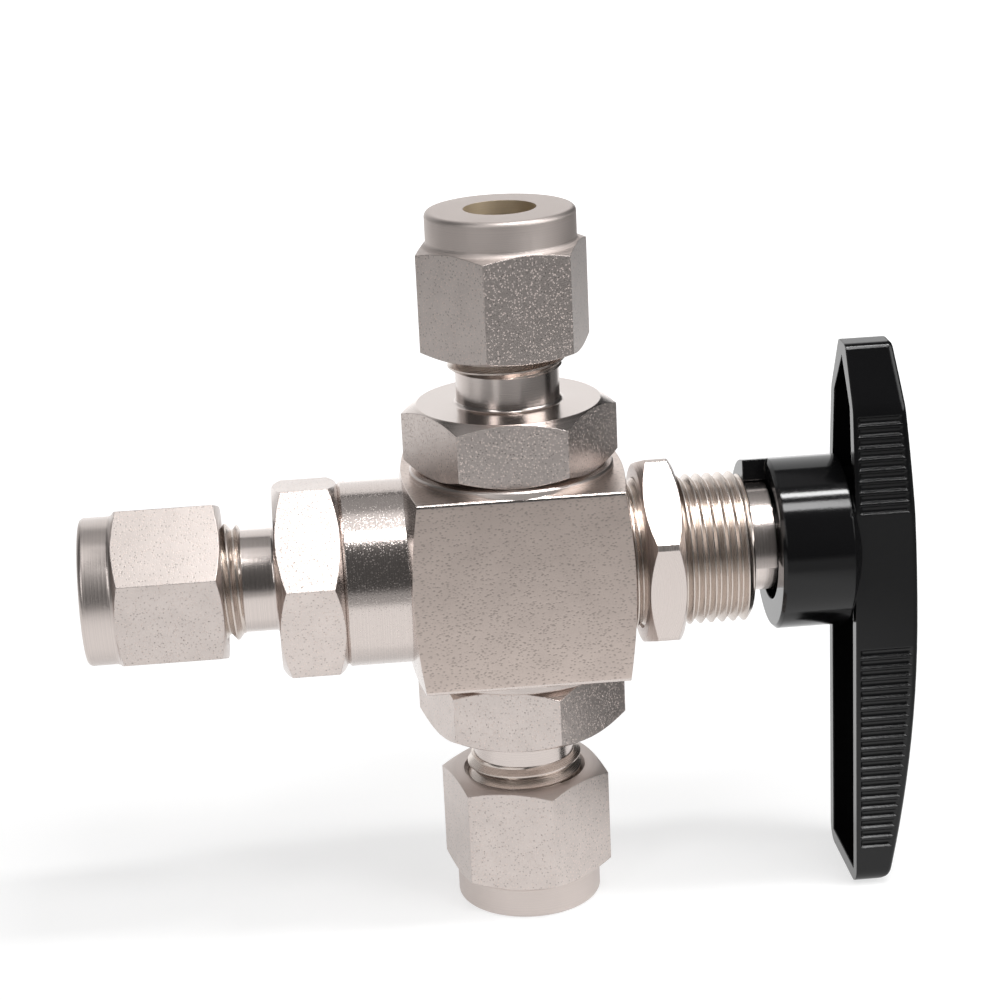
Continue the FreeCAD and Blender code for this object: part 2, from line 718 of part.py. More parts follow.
def crown_radius(depth, reach):
    """Radius of the arc that leaves the crest upright and falls to an arm's end."""
    fall = HANDLE_CROWN - depth
    run = reach - CREST_HEIGHT
    return (run * run + fall * fall) / (2 * fall)


def crown_at(height):
    """Where the crowned face lies along the stem at a height."""
    depth, reach = (TIP_DEPTH, SHORT_ARM) if height > CREST_HEIGHT else (END_DEPTH, -LONG_ARM)
    radius = crown_radius(depth, reach)
    run = height - CREST_HEIGHT
    return HANDLE_TOP - radius + math.sqrt(radius * radius - run * run)


def side_profile(inset, rim):
    """The handle seen from the side: a straight rim and a face crowned by two arcs."""
    half = HANDLE_HALF_WIDTH + OVERCUT
    ends = []
    for reach in (SHORT_ARM, -LONG_ARM):
        halfway = (CREST_HEIGHT + reach) / 2
        crest = vec(HANDLE_TOP - inset, -half, CREST_HEIGHT)
        middle = vec(crown_at(halfway) - inset, -half, halfway)
        end = vec(crown_at(reach) - inset, -half, reach)
        ends.append((end, Part.Arc(crest, middle, end).toShape()))
    (tip, tip_arc), (blunt, blunt_arc) = ends
    wire = Part.Wire([
        Part.makeLine(vec(rim, -half, SHORT_ARM), tip),
        tip_arc,
        blunt_arc,
        Part.makeLine(blunt, vec(rim, -half, -LONG_ARM)),
        Part.makeLine(vec(rim, -half, -LONG_ARM), vec(rim, -half, SHORT_ARM)),
    ])
    return Part.Face(wire).extrude(vec(0, 2 * half, 0))


def end_rounding():
    """What the round takes off between the crowned face and the long arm's end."""
    half = HANDLE_HALF_WIDTH + OVERCUT
    start = -LONG_ARM + END_ROUND
    crown = vec(crown_at(start), -half, start)
    end = vec(HANDLE_RIM + END_DEPTH - END_ROUND, -half, -LONG_ARM)
    centre = vec(end.x, -half, start)
    swing = (crown - centre).normalize() + (end - centre).normalize()
    middle = centre + swing.normalize() * END_ROUND
    below = vec(end.x, -half, -LONG_ARM - OVERCUT)
    corner = vec(HANDLE_TOP, -half, -LONG_ARM - OVERCUT)
    beside = vec(HANDLE_TOP, -half, start)
    wire = Part.Wire([
        Part.Arc(crown, middle, end).toShape(),
        Part.makeLine(end, below),
        Part.makeLine(below, corner),
        Part.makeLine(corner, beside),
        Part.makeLine(beside, crown),
    ])
    return Part.Face(wire).extrude(vec(0, 2 * half, 0))


def groove(height, half_width, lean):
    """A shallow hollow groove along the stem on the front flank, with sloping ends."""
    start = HANDLE_RIM + GROOVE_INSET
    end = crown_at(height) - HANDLE_EDGE - GROOVE_LAND
    # Its section is an arc in a few flats, closed in front of the flank.
    chord = GROOVE_WIDTH / 2
    radius = (chord * chord + GROOVE_DEPTH * GROOVE_DEPTH) / (2 * GROOVE_DEPTH)
    half_angle = math.asin(chord / radius)
    section = [vec(start - OVERCUT, -OVERCUT, -chord)]
    for k in range(GROOVE_FLATS + 1):
        angle = half_angle * (2 * k / GROOVE_FLATS - 1)
        depth = GROOVE_DEPTH - radius + radius * math.cos(angle)
        section.append(vec(start - OVERCUT, depth, radius * math.sin(angle)))
    section.append(vec(start - OVERCUT, -OVERCUT, chord))
    section.append(section[0])
    bar = Part.Face(Part.makePolygon(section)).extrude(vec(end - start + 2 * OVERCUT, 0, 0))
    # The ends rise from the groove's floor to the flank, and on beyond it at the same slope.
    rise = GROOVE_END_RUN / GROOVE_DEPTH
    corners = [
        vec(start + GROOVE_END_RUN, GROOVE_DEPTH, 0),
        vec(end - GROOVE_END_RUN, GROOVE_DEPTH, 0),
        vec(end + rise * OVERCUT, -OVERCUT, 0),
        vec(start - rise * OVERCUT, -OVERCUT, 0),
    ]
    plan = Part.Face(Part.makePolygon(corners + [corners[0]]))
    plan.translate(vec(0, 0, -GROOVE_WIDTH))
    piece = bar.common(plan.extrude(vec(0, 0, 2 * GROOVE_WIDTH)))
    piece.rotate(CENTRE, X_AXIS, -lean)
    piece.translate(vec(0, -half_width, height))
    return piece


def grip_grooves():
    """The grooves of both arms, on the front and the back flank."""
    taper = (HANDLE_HALF_WIDTH - SHOULDER_HALF_WIDTH) / (SHOULDER_HEIGHT - STRAIGHT_TOP)
    lean = math.degrees(math.atan(taper))
    front = []
    low, high = SHORT_ARM_GROOVES
    for k in range(int((high - low) / GROOVE_PITCH) + 1):
        height = low + k * GROOVE_PITCH
        front.append(groove(height, HANDLE_HALF_WIDTH - (height - STRAIGHT_TOP) * taper, lean))
    low, high = LONG_ARM_GROOVES
    for k in range(int((high - low) / GROOVE_PITCH) + 1):
        front.append(groove(-low - k * GROOVE_PITCH, HANDLE_HALF_WIDTH, 0))
    return front + [piece.mirror(CENTRE, Y_AXIS) for piece in front]


def make_handle():
    outer = outer_plan().common(side_profile(0, HANDLE_RIM))
    # Only the edges of the crowned face lie wholly above the rim by half an end's depth.
    crown = []
    for edge in outer.Edges:
        if edge.BoundBox.XMin > HANDLE_RIM + END_DEPTH / 2:
            crown.append(edge)
    outer = outer.makeFillet(HANDLE_EDGE, crown).cut(end_rounding())

    # The arms are hollow towards the valve; the hub's core stands in the middle of the hollow.
    core = along_stem(drum(HUB_RADIUS - HANDLE_WALL, HANDLE_RIM - CORE_ROOT, HANDLE_TOP))
    hollow = inner_plan().common(side_profile(HANDLE_WALL, HANDLE_RIM - OVERCUT)).cut(core)
    shell = outer.cut(hollow)

    # Round hub: it stands proud of the arms nearly up to the rim, then narrows into them.
    hub = along_stem(turned([
        (0, HUB_START),
        (HUB_RADIUS - HUB_EDGE, HUB_START),
        (HUB_RADIUS, HUB_START + HUB_EDGE),
        (HUB_RADIUS, HANDLE_RIM - HUB_SHOULDER),
        (HANDLE_HALF_WIDTH - HANDLE_WALL / 2, HANDLE_RIM + HUB_BLEND),
        (0, HANDLE_RIM + HUB_BLEND),
    ]))
    handle = shell.fuse(hub)

    # Stop lug, just past the end of the bolt's stop sector when the long arm points down.
    lug_start = HUB_START - STOP_LUG_DEPTH
    lug_angle = SECTOR_START_ANGLE + SECTOR_SPAN + STOP_ROOM_ANGLE
    lug = sector(CUP_RADIUS, STOP_LUG_RADIUS, lug_start, HUB_START + HUB_EDGE, lug_angle, LUG_SPAN)
    # A skirt that carries the lug runs outside the stop sector, from the top to the lug.
    skirt = sector(SECTOR_RADIUS + SKIRT_ROOM, HUB_RADIUS, lug_start, HUB_START + HUB_EDGE,
                   SKIRT_START_ANGLE, lug_angle + LUG_SPAN - SKIRT_START_ANGLE)
    handle = handle.fuse(lug.fuse(skirt))

    # Cup round the bolt's head, square hole for the stem and the set screw's hole.
    cup = along_stem(drum(CUP_RADIUS, HUB_START - OVERCUT, CUP_FLOOR))
    hole = STEM_SQUARE + 2 * FIXED_GAP
    square = Part.makeBox(
        STEM_END + STEM_END_GAP - CUP_FLOOR + OVERCUT, hole, hole,
        vec(CUP_FLOOR - OVERCUT, -hole / 2, -hole / 2))
    screw_hole = Part.makeCylinder(
        SET_SCREW_RADIUS + FIXED_GAP, HUB_RADIUS + OVERCUT, vec(SET_SCREW_PLACE, 0, 0), Y_AXIS)
    handle = handle.cut(cup).cut(square).cut(screw_hole)
    return handle.cut(grip_grooves()).removeSplitter()


def make_set_screw():
    start = STEM_SQUARE / 2 + FACE_GAP
    end = HUB_RADIUS - SET_SCREW_SUNK
    edge = 0.25
    screw = turned([
        (0, start),
        (SET_SCREW_RADIUS - edge, start),
        (SET_SCREW_RADIUS, start + edge),
        (SET_SCREW_RADIUS, end - edge),
        (SET_SCREW_RADIUS - edge, end),
        (0, end),
    ])
    screw = screw.cut(hexagon(SET_SCREW_KEY, end - SET_SCREW_KEY_DEPTH, end + OVERCUT))
    screw.rotate(CENTRE, X_AXIS, -90)
    screw.translate(vec(SET_SCREW_PLACE, 0, 0))
    return screw


def all_parts():
    parts = {"body": make_body()}
    for port, data in PORTS.items():
        parts["connector_" + port] = make_connector(port, data)
        parts["connector_seal_" + port] = make_seal(port, data)
        parts["ball_seat_" + port] = make_seat(port)
        parts["front_ferrule_" + port] = make_front_ferrule(port, data)
        parts["back_ferrule_" + port] = make_back_ferrule(port, data)
        parts["tube_nut_" + port] = make_tube_nut(port, data)
    parts["panel_nut"] = make_panel_nut()
    parts["ball"] = make_ball()
    parts["stem"] = make_stem()
    parts["stem_washer"] = make_washer()
    lower_start = PACKING_START + FACE_GAP
    upper_start = LOWER_RING_END + FACE_GAP
    parts["packing_ring_lower"] = packing_ring(lower_start, LOWER_RING_END, True, False)
    parts["packing_ring_upper"] = packing_ring(upper_start, UPPER_RING_END, False, True)
    parts["gland"] = make_gland()
    parts["disc_spring_lower"] = make_spring(GLAND_END + FACE_GAP, False)
    parts["disc_spring_upper"] = make_spring(LOWER_SPRING_END + FACE_GAP, True)
    parts["packing_bolt"] = make_packing_bolt()
    parts["handle"] = make_handle()
    parts["handle_set_screw"] = make_set_screw()
    return parts


for name, shape in all_parts().items():
    shape.exportStep(os.path.join("parts", name + ".step"))
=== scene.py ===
import math

import bmesh
import bpy
from bpy.props import FloatProperty, FloatVectorProperty, IntProperty, PointerProperty
from mathutils import Matrix, Vector


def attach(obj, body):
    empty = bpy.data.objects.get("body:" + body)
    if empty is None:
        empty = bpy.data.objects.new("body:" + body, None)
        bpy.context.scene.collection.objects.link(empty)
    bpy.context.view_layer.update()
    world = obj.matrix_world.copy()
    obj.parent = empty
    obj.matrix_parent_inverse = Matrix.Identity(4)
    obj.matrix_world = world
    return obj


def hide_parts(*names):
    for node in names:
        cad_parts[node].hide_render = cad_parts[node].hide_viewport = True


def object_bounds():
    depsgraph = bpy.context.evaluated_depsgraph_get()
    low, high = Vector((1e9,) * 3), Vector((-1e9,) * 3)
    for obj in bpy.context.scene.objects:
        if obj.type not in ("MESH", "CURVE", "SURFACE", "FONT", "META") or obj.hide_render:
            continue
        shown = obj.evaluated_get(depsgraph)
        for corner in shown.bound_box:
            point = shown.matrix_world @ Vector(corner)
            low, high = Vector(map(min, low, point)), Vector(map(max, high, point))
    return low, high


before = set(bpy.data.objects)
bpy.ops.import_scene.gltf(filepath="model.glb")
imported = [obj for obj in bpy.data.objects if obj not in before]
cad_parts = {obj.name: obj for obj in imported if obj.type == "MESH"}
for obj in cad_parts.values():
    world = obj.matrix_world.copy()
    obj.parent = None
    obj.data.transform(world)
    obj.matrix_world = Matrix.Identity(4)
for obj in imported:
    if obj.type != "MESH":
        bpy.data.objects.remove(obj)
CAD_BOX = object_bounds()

bl_info = {
    "name": "Three-way ball valve",
    "version": (1, 0, 0),
    "blender": (4, 5, 0),
    "location": "3D View > Sidebar > Valve",
    "description": "Dresses a small three-way ball valve and builds its studio stage",
    "category": "Object",
}

# Places in metres, in the valve's own frame: the stem lies along X, the side ports along Z, and
# the common port points along -X from the ball's centre.
BALL_CENTRE = Vector((-0.0104, 0.0, 0.0))
STEM_CENTRE = Vector((0.0, 0.0, 0.0))
X_AXIS = Vector((1.0, 0.0, 0.0))
PORT_AXES = {
    "top": Vector((0.0, 0.0, 1.0)),
    "bottom": Vector((0.0, 0.0, -1.0)),
    "left": Vector((-1.0, 0.0, 0.0)),
}
PORT_FACES = {"top": 0.00985, "bottom": 0.00985, "left": 0.01645}

# Half the distance across the flats of the block and of each hexagon.
BLOCK_SIDE = 0.00965
BLOCK_TOP = 0.00925
CONNECTOR_FLAT = 0.0087
TUBE_NUT_FLAT = 0.00714375

# How far a face may lie from its place, how far its normal may lean, how near two points count
# as one, how short an edge counts as none, and past which angles in degrees an edge is sharp.
FIT = 0.00001
LEAN = 0.02
SAME_POINT = 1e-7
NO_LENGTH = 1e-8
CAD_CREASE = 25.0
THREAD_CREASE = 30.0

# The bonnet's thread, and the tube threads by their places along a port from its face.
BONNET_RADIUS = 0.00715
BONNET_CORE = 0.0065
BONNET_BORE = 0.00462
BONNET_END = 0.0115
TUBE_THREAD_RADIUS = 0.0055
TUBE_THREAD_CORE = 0.00485
TUBE_THREAD_START = 0.0093
TUBE_THREAD_END = 0.0183
TUBE_BORE = 0.0034

# Rows of faces in one turn of a thread, rows that close its sleeve, and how far its core sinks
# into the piece that carries it.
ROWS_IN_TURN = 8.0
CLOSING_ROWS = 3.0
CORE_SKIN = 0.0002

# A tooth's flat and its flank as shares of a turn, a nudge that keeps whole turns clear of
# rounding, and the slope of the chamfer at each end.
TOOTH_FLAT = 0.125
TOOTH_FLANK = 0.375
NUDGE = 0.01
CHAMFER_SLOPE = 2.0

# The places of a piece's finishes in its list of materials. The third is a nut's bore, or the
# block's lands round its ports.
DRAWN, TURNED, THIRD = range(3)

# What the bare steel's colour is multiplied by.
PLAIN_TINT = (1.0, 1.0, 1.0)
BLOCK_TINT = (1.02, 0.97, 0.935)
THREAD_TINT = (1.0, 0.99, 0.96)
BORE_TINT = (0.98, 0.92, 0.72)

# How rough the threads and the turned faces of each port's nut are.
THREAD_ROUGHNESS = 0.22
NUT_ROUGHNESS = {"top": 0.44, "bottom": 0.42, "left": 0.28}

# Radii that a finish rounds its edges by, in metres, and the rays that look for an edge.
DRAWN_EDGE = 0.00012
TURNED_EDGE = 0.0001
THREAD_EDGE = 0.00002
EDGE_SAMPLES = 4

# Depths in metres of the tool lines and of a frosted face's dimples, and the lines' spacing.
LINE_DEPTH = 0.000002
FROST_DEPTH = 0.000004
LINE_SPACING = 0.00008

# The grain's dots: cells along a grain's length, and how far from its cell's centre a dot begins
# and is full. The pits lie in cells of their own, shifted off the dimples'.
DIMPLES = {"scale": 0.6, "rim": 0.36, "full": 0.16}
PITS = {"scale": 0.42, "rim": 0.3, "full": 0.12}
PIT_SHIFT = (7.3, 2.1, 5.9)

# Noise by its scale and detail, the ramps that spread it from 0 to 1, and how high the grain's
# fine noise stands beside the depth of its dots.
GRAIN_FINE = (0.9, 2.0)
GRAIN_BROAD = (0.06, 3.0)
PLASTIC_FINE = (4200.0, 1.0)
PLASTIC_BROAD = (260.0, 2.0)
MOTTLE_RAMP = (0.35, 0.65)
STREAK_RAMP = (0.35, 0.7)
FINE_HEIGHT = 0.5

# Shares of a finish's own colour or roughness, from where its pattern is 0 to where it is 1.
MOTTLE_SHADES = (0.96, 1.03)
STREAK_SHADES = (0.92, 1.06)
STREAK_ROUGHNESS = (1.0, 1.5)
PLASTIC_SHADES = (0.85, 1.2)
PLASTIC_ROUGHNESS = (0.85, 1.25)
PIT_SHADE = 0.66

# How strongly plastic mirrors.
PLASTIC_SPECULAR = 0.36

# How rough the paper is, and the colour of its glow and of the room.
PAPER_ROUGHNESS = 0.9
WHITE = (1.0, 1.0, 1.0, 1.0)

# The paper sweep in metres: its front, where its bend starts, the bend's radius, its height and
# half its width. The bend has its own number of faces.
SWEEP_FRONT, SWEEP_BEND, SWEEP_RADIUS, SWEEP_HEIGHT, SWEEP_HALF = -0.9, 0.55, 0.25, 0.9, 1.4
BEND_FACES = 12

# Ramps over the stage in metres, from where each is 0 to where it is 1. A slant is how far a
# border shifts against X for each metre of depth.
PAPER_FRONT = (-0.094, -0.078)
PAPER_LEFT, LEFT_SLANT = (-0.36, -0.16), 0.12
PAPER_RIGHT, RIGHT_SLANT = (0.12, 0.045), -0.28
# The strip is a painted strip of light on the table, and the table's ramps set where its painted
# light and shade fade.
STRIP_EDGE, STRIP_SLANT = (0.034, 0.02), -0.65
TABLE_DEPTH, TABLE_RIGHT = (-0.34, -0.22), (0.14, 0.05)
GLOW_DEPTH, GLOW_RIGHT, GLOW_HEIGHT = (0.0, 0.6), (0.075, 0.04), (0.04, 0.14)
WHITE_REACH = (0.15, 0.4)

# Painted light and shade on the table, as shares of its colour: darker far from the valve, lighter
# near it, and lighter still inside a painted strip of light.
TABLE_PAINTED_SHADE = 0.5
TABLE_PAINTED_LIGHT = (1.35, 3.0)

# Glow of the paper under the valve, of the sweep behind it, and the share that is left high up.
PAPER_GLOW = 0.68
SWEEP_GLOW = 0.7
HIGH_SHARE = 0.7

# Each lamp's name, place, width, height and radiance. One whose name starts with overhead faces
# down, and the others face the valve.
LAMPS = (
    ("overhead_softbox", (0.19, -0.077, 0.6), 0.26, 0.065, 30.0),
    ("overhead_panel", (-0.09, -0.08, 0.62), 0.28, 0.3, 0.8),
    ("overhead_back_panel", (-0.05, 0.26, 0.62), 0.4, 0.38, 0.3),
    ("front_softbox", (0.078, -0.28, 0.58), 0.19, 0.115, 13.5),
    ("left_softbox", (-0.35, -0.42, 0.31), 0.16, 0.42, 2.7),
    ("right_softbox", (0.46, -0.27, 0.31), 0.5, 0.42, 2.9),
)

# The camera's frame in millimetres, and the nearest that it sees, in metres.
SENSOR_WIDTH = 36.0
CLIP_START = 0.001


class ValveFinishSettings(bpy.types.PropertyGroup):
    """Colours and roughness of the valve's finishes."""
    steel_colour: FloatVectorProperty(
        name="Steel", description="Colour of the bare steel", subtype="COLOR",
        default=(0.65, 0.583, 0.55), min=0.0, max=1.0)
    flats_roughness: FloatProperty(
        name="Flats roughness", description="Roughness of the drawn flats",
        subtype="FACTOR", default=0.34, min=0.0, max=1.0)
    turned_roughness: FloatProperty(
        name="Turned roughness", description="Roughness of the turned faces",
        subtype="FACTOR", default=0.18, min=0.0, max=1.0)
    grain_size: FloatProperty(
        name="Grain size", description="Size of the dimples on the drawn flats",
        unit="LENGTH", default=0.00014, min=0.00002, precision=6)
    grain_depth: FloatProperty(
        name="Grain depth", description="Depth of the dimples on the drawn flats",
        unit="LENGTH", default=0.000004, min=0.0, precision=6)
    handle_colour: FloatVectorProperty(
        name="Handle", description="Colour of the moulded handle", subtype="COLOR",
        default=(0.0055, 0.0055, 0.006), min=0.0, max=1.0)
    seal_colour: FloatVectorProperty(
        name="Seals", description="Colour of the seats, seals and packing", subtype="COLOR",
        default=(0.8, 0.78, 0.72), min=0.0, max=1.0)


class ValveThreadSettings(bpy.types.PropertyGroup):
    """Sizes of the visible threads."""
    bonnet_pitch: FloatProperty(
        name="Bonnet pitch", description="Length of one turn of the bonnet's thread",
        unit="LENGTH", default=0.00104, min=0.0002, precision=6)
    tube_pitch: FloatProperty(
        name="Tube pitch", description="Length of one turn of a connector's thread",
        unit="LENGTH", default=0.00127, min=0.0002, precision=6)
    depth_share: FloatProperty(
        name="Depth", description="Depth of a thread as a share of its pitch",
        subtype="FACTOR", default=0.46, min=0.1, max=0.6)
    steps_around: IntProperty(
        name="Steps around", description="Faces round one turn", default=96, min=12)


class ValveStageSettings(bpy.types.PropertyGroup):
    """Camera and light of the studio stage."""
    camera_place: FloatVectorProperty(
        name="Camera", description="Where the camera stands", subtype="TRANSLATION",
        default=(-0.02926, -0.22810, 0.07948))
    camera_yaw: FloatProperty(
        name="Yaw", description="How far the camera turns towards the handle",
        subtype="ANGLE", default=0.0773)
    camera_pitch: FloatProperty(
        name="Pitch", description="How far the camera looks up", subtype="ANGLE", default=-0.31)
    camera_roll: FloatProperty(
        name="Roll", description="How far the camera leans", subtype="ANGLE", default=-0.0464)
    focal_length: FloatProperty(
        name="Focal length", description="Lens in millimetres for a 36 mm wide frame",
        default=91.88, min=10.0)
    lamp_level: FloatProperty(
        name="Lamp level", description="Brightness of the softboxes", default=1.0, min=0.0)
    room_level: FloatProperty(
        name="Room level", description="Brightness of the room round the stage",
        default=0.08, min=0.0)
    paper_colour: FloatVectorProperty(
        name="Paper", description="Colour of the floor and its sweep", subtype="COLOR",
        default=(0.4, 0.4, 0.4), min=0.0, max=1.0)
    table_colour: FloatVectorProperty(
        name="Table", description="Colour of the floor round the paper", subtype="COLOR",
        default=(0.32, 0.32, 0.32), min=0.0, max=1.0)


def add_object(name, data):
    """A new object in the scene, with a mesh, a light or a camera."""
    made = bpy.data.objects.new(name, data)
    bpy.context.scene.collection.objects.link(made)
    return made


def add_node(tree, kind, inputs=None, **settings):
    """Add a node with its settings, and give its inputs values or links."""
    made = tree.nodes.new(kind)
    for key, value in settings.items():
        setattr(made, key, value)
    for key, value in (inputs or {}).items():
        if isinstance(value, bpy.types.NodeSocket):
            tree.links.new(value, made.inputs[key])
        else:
            made.inputs[key].default_value = value
    return made


def maths(tree, operation, *values):
    """A Math node's output for values or sockets."""
    return add_node(
        tree, "ShaderNodeMath", dict(enumerate(values)), operation=operation).outputs[0]


def product(tree, first, *others):
    """The product of values or sockets."""
    for other in others:
        first = maths(tree, "MULTIPLY", first, other)
    return first


def vector_maths(tree, operation, *values):
    """A Vector Math node, with its first inputs set."""
    return add_node(tree, "ShaderNodeVectorMath", dict(enumerate(values)), operation=operation)


def scale_vector(tree, vector, factor):
    """A vector made longer by a factor."""
    return add_node(tree, "ShaderNodeVectorMath", {
        0: vector, "Scale": factor}, operation="SCALE").outputs[0]


def step_up(tree, value, low, high):
    """A ramp from 0 at low to 1 at high, held at both ends."""
    return add_node(tree, "ShaderNodeMapRange", {
        "Value": value, "From Min": low, "From Max": high, "To Min": 0.0, "To Max": 1.0,
    }, clamp=True).outputs["Result"]


def blend_values(tree, factor, first, second):
    """A number that goes from first to second with the factor."""
    return add_node(tree, "ShaderNodeMix", {
        0: factor, 2: first, 3: second}, data_type="FLOAT").outputs[0]


def blend_colours(tree, factor, first, second):
    """A colour that goes from first to second with the factor."""
    return add_node(tree, "ShaderNodeMix", {
        0: factor, 6: first, 7: second}, data_type="RGBA").outputs[2]


def shade(colour, share=1.0):
    """A share of a colour, as the four numbers that a colour socket takes."""
    return (*(Vector(colour) * share), 1.0)


def blend_shades(tree, factor, colour, shares):
    """A colour that goes from one share of itself to another with the factor."""
    first, second = shares
    return blend_colours(tree, factor, shade(colour, first), shade(colour, second))


def object_point(tree):
    """A surface point in its object's own coordinates."""
    return tree.nodes.new("ShaderNodeTexCoord").outputs["Object"]


def cloud(tree, vector, scale, detail):
    """Soft noise round a half."""
    return add_node(tree, "ShaderNodeTexNoise", {
        "Vector": vector, "Scale": scale, "Detail": detail}).outputs[0]


def dots(tree, vector, scale, rim, full):
    """Round dots, one in each cell, that rise from 0 at the rim to 1 at the full distance."""
    cells = add_node(tree, "ShaderNodeTexVoronoi", {"Vector": vector, "Scale": scale})
    return step_up(tree, cells.outputs["Distance"], rim, full)


def shader_group(name, inputs, outputs):
    """An empty shader group with named sockets, what it is given and what it puts out."""
    tree = bpy.data.node_groups.new(name, "ShaderNodeTree")
    for label, kind, default in inputs:
        socket = tree.interface.new_socket(label, in_out="INPUT", socket_type=kind)
        socket.default_value = default
    for label in outputs:
        tree.interface.new_socket(label, in_out="OUTPUT", socket_type="NodeSocketFloat")
    given = tree.nodes.new("NodeGroupInput").outputs
    return tree, given, tree.nodes.new("NodeGroupOutput").inputs


def axis_place_group():
    """How far a point lies along an axis and out from it."""
    tree, given, result = shader_group("axis_place", [
        ("Centre", "NodeSocketVector", (0.0, 0.0, 0.0)),
        ("Axis", "NodeSocketVector", (0.0, 0.0, 1.0)),
    ], ["Along", "Out"])
    offset = vector_maths(tree, "SUBTRACT", object_point(tree), given["Centre"]).outputs[0]
    along = vector_maths(tree, "DOT_PRODUCT", offset, given["Axis"]).outputs["Value"]
    on_axis = scale_vector(tree, given["Axis"], along)
    across = vector_maths(tree, "SUBTRACT", offset, on_axis).outputs[0]
    tree.links.new(along, result["Along"])
    tree.links.new(vector_maths(tree, "LENGTH", across).outputs["Value"], result["Out"])


def stock_grain_group():
    """Round dimples, dark pits and cloudy tone of drawn bar stock, at a grain size in metres.

    The stretch draws the pattern out along each axis.
    """
    tree, given, result = shader_group("stock_grain", [
        ("Grain", "NodeSocketFloat", 0.0002),
        ("Stretch", "NodeSocketVector", (1.0, 1.0, 1.0)),
    ], ["Dimples", "Pits", "Mottle", "Height"])
    drawn_out = vector_maths(tree, "DIVIDE", object_point(tree), given["Stretch"]).outputs[0]
    place = scale_vector(tree, drawn_out, maths(tree, "DIVIDE", 1.0, given["Grain"]))
    dimples = dots(tree, place, **DIMPLES)
    pits = dots(tree, vector_maths(tree, "ADD", place, PIT_SHIFT).outputs[0], **PITS)
    hollow = maths(tree, "MULTIPLY", maths(tree, "MAXIMUM", dimples, pits), -1.0)
    fine = cloud(tree, place, *GRAIN_FINE)
    broad = cloud(tree, place, *GRAIN_BROAD)
    tree.links.new(dimples, result["Dimples"])
    tree.links.new(pits, result["Pits"])
    tree.links.new(step_up(tree, broad, *MOTTLE_RAMP), result["Mottle"])
    tree.links.new(maths(tree, "MULTIPLY_ADD", fine, FINE_HEIGHT, hollow), result["Height"])


def lathe_lines_group():
    """Fine lines that a turning tool leaves round an axis, on faces and on cylinders."""
    tree, given, result = shader_group("lathe_lines", [
        ("Along", "NodeSocketFloat", 0.0),
        ("Out", "NodeSocketFloat", 0.0),
        ("Spacing", "NodeSocketFloat", LINE_SPACING),
    ], ["Streak", "Height"])
    place = maths(tree, "ADD", given["Along"], given["Out"])
    noise = add_node(tree, "ShaderNodeTexNoise", noise_dimensions="1D", inputs={
        "W": maths(tree, "DIVIDE", place, given["Spacing"]),
        "Scale": 1.0, "Detail": 2.0}).outputs[0]
    tree.links.new(noise, result["Height"])
    tree.links.new(step_up(tree, noise, *STREAK_RAMP), result["Streak"])


def node_tree(name):
    """A node tree by its name, built the first time that it is asked for."""
    if name not in bpy.data.node_groups:
        TREE_MAKERS[name]()
    return bpy.data.node_groups[name]


def use_group(tree, name, inputs):
    """Place a shader group in a tree, and give what it puts out."""
    return add_node(tree, "ShaderNodeGroup", inputs, node_tree=node_tree(name)).outputs


def new_material(name, colour):
    """A material with its node tree emptied to an output and a Principled shader."""
    material = bpy.data.materials.new(name)
    material.use_nodes = True
    material.diffuse_color = (*colour, 1.0)
    tree = material.node_tree
    tree.nodes.clear()
    shader = tree.nodes.new("ShaderNodeBsdfPrincipled")
    output = tree.nodes.new("ShaderNodeOutputMaterial")
    tree.links.new(shader.outputs[0], output.inputs["Surface"])
    return material, tree, shader


def set_surface(tree, shader, colour, roughness, height, edge, depth):
    """Link colour and roughness, soften the edges by a radius and emboss a height by a depth."""
    tree.links.new(colour, shader.inputs["Base Color"])
    tree.links.new(roughness, shader.inputs["Roughness"])
    rounded = add_node(tree, "ShaderNodeBevel", {"Radius": edge}, samples=EDGE_SAMPLES)
    bump = add_node(tree, "ShaderNodeBump", {
        "Height": height, "Normal": rounded.outputs[0], "Strength": 1.0, "Distance": depth})
    tree.links.new(bump.outputs[0], shader.inputs["Normal"])


def drawn_steel(name, tint=PLAIN_TINT, stretch=(1.0, 1.0, 1.0), tone=1.35, matt=0.88):
    """Bare drawn stock: satin, covered with small dimples and a few dark pits.

    The tone is the colour of the dimples as a share of the steel's, and matt their roughness.
    A tone above 1 paints the dimples lighter than the steel, as painted glints on the grain.
    """
    finish = bpy.context.scene.valve_finish
    base = Vector(finish.steel_colour) * Vector(tint)
    material, tree, shader = new_material(name, base)
    grain = use_group(tree, "stock_grain", {"Grain": finish.grain_size, "Stretch": stretch})
    colour = blend_shades(tree, grain["Mottle"], base, MOTTLE_SHADES)
    # With a tone above 1 the dimples' lighter colour is a painted glint on the real grain.
    colour = blend_colours(tree, grain["Dimples"], colour, shade(base, tone))
    colour = blend_colours(tree, grain["Pits"], colour, shade(base, PIT_SHADE))
    rough = blend_values(tree, grain["Dimples"], finish.flats_roughness, matt)
    set_surface(tree, shader, colour, rough, grain["Height"], DRAWN_EDGE, finish.grain_depth)
    shader.inputs["Metallic"].default_value = 1.0
    return material


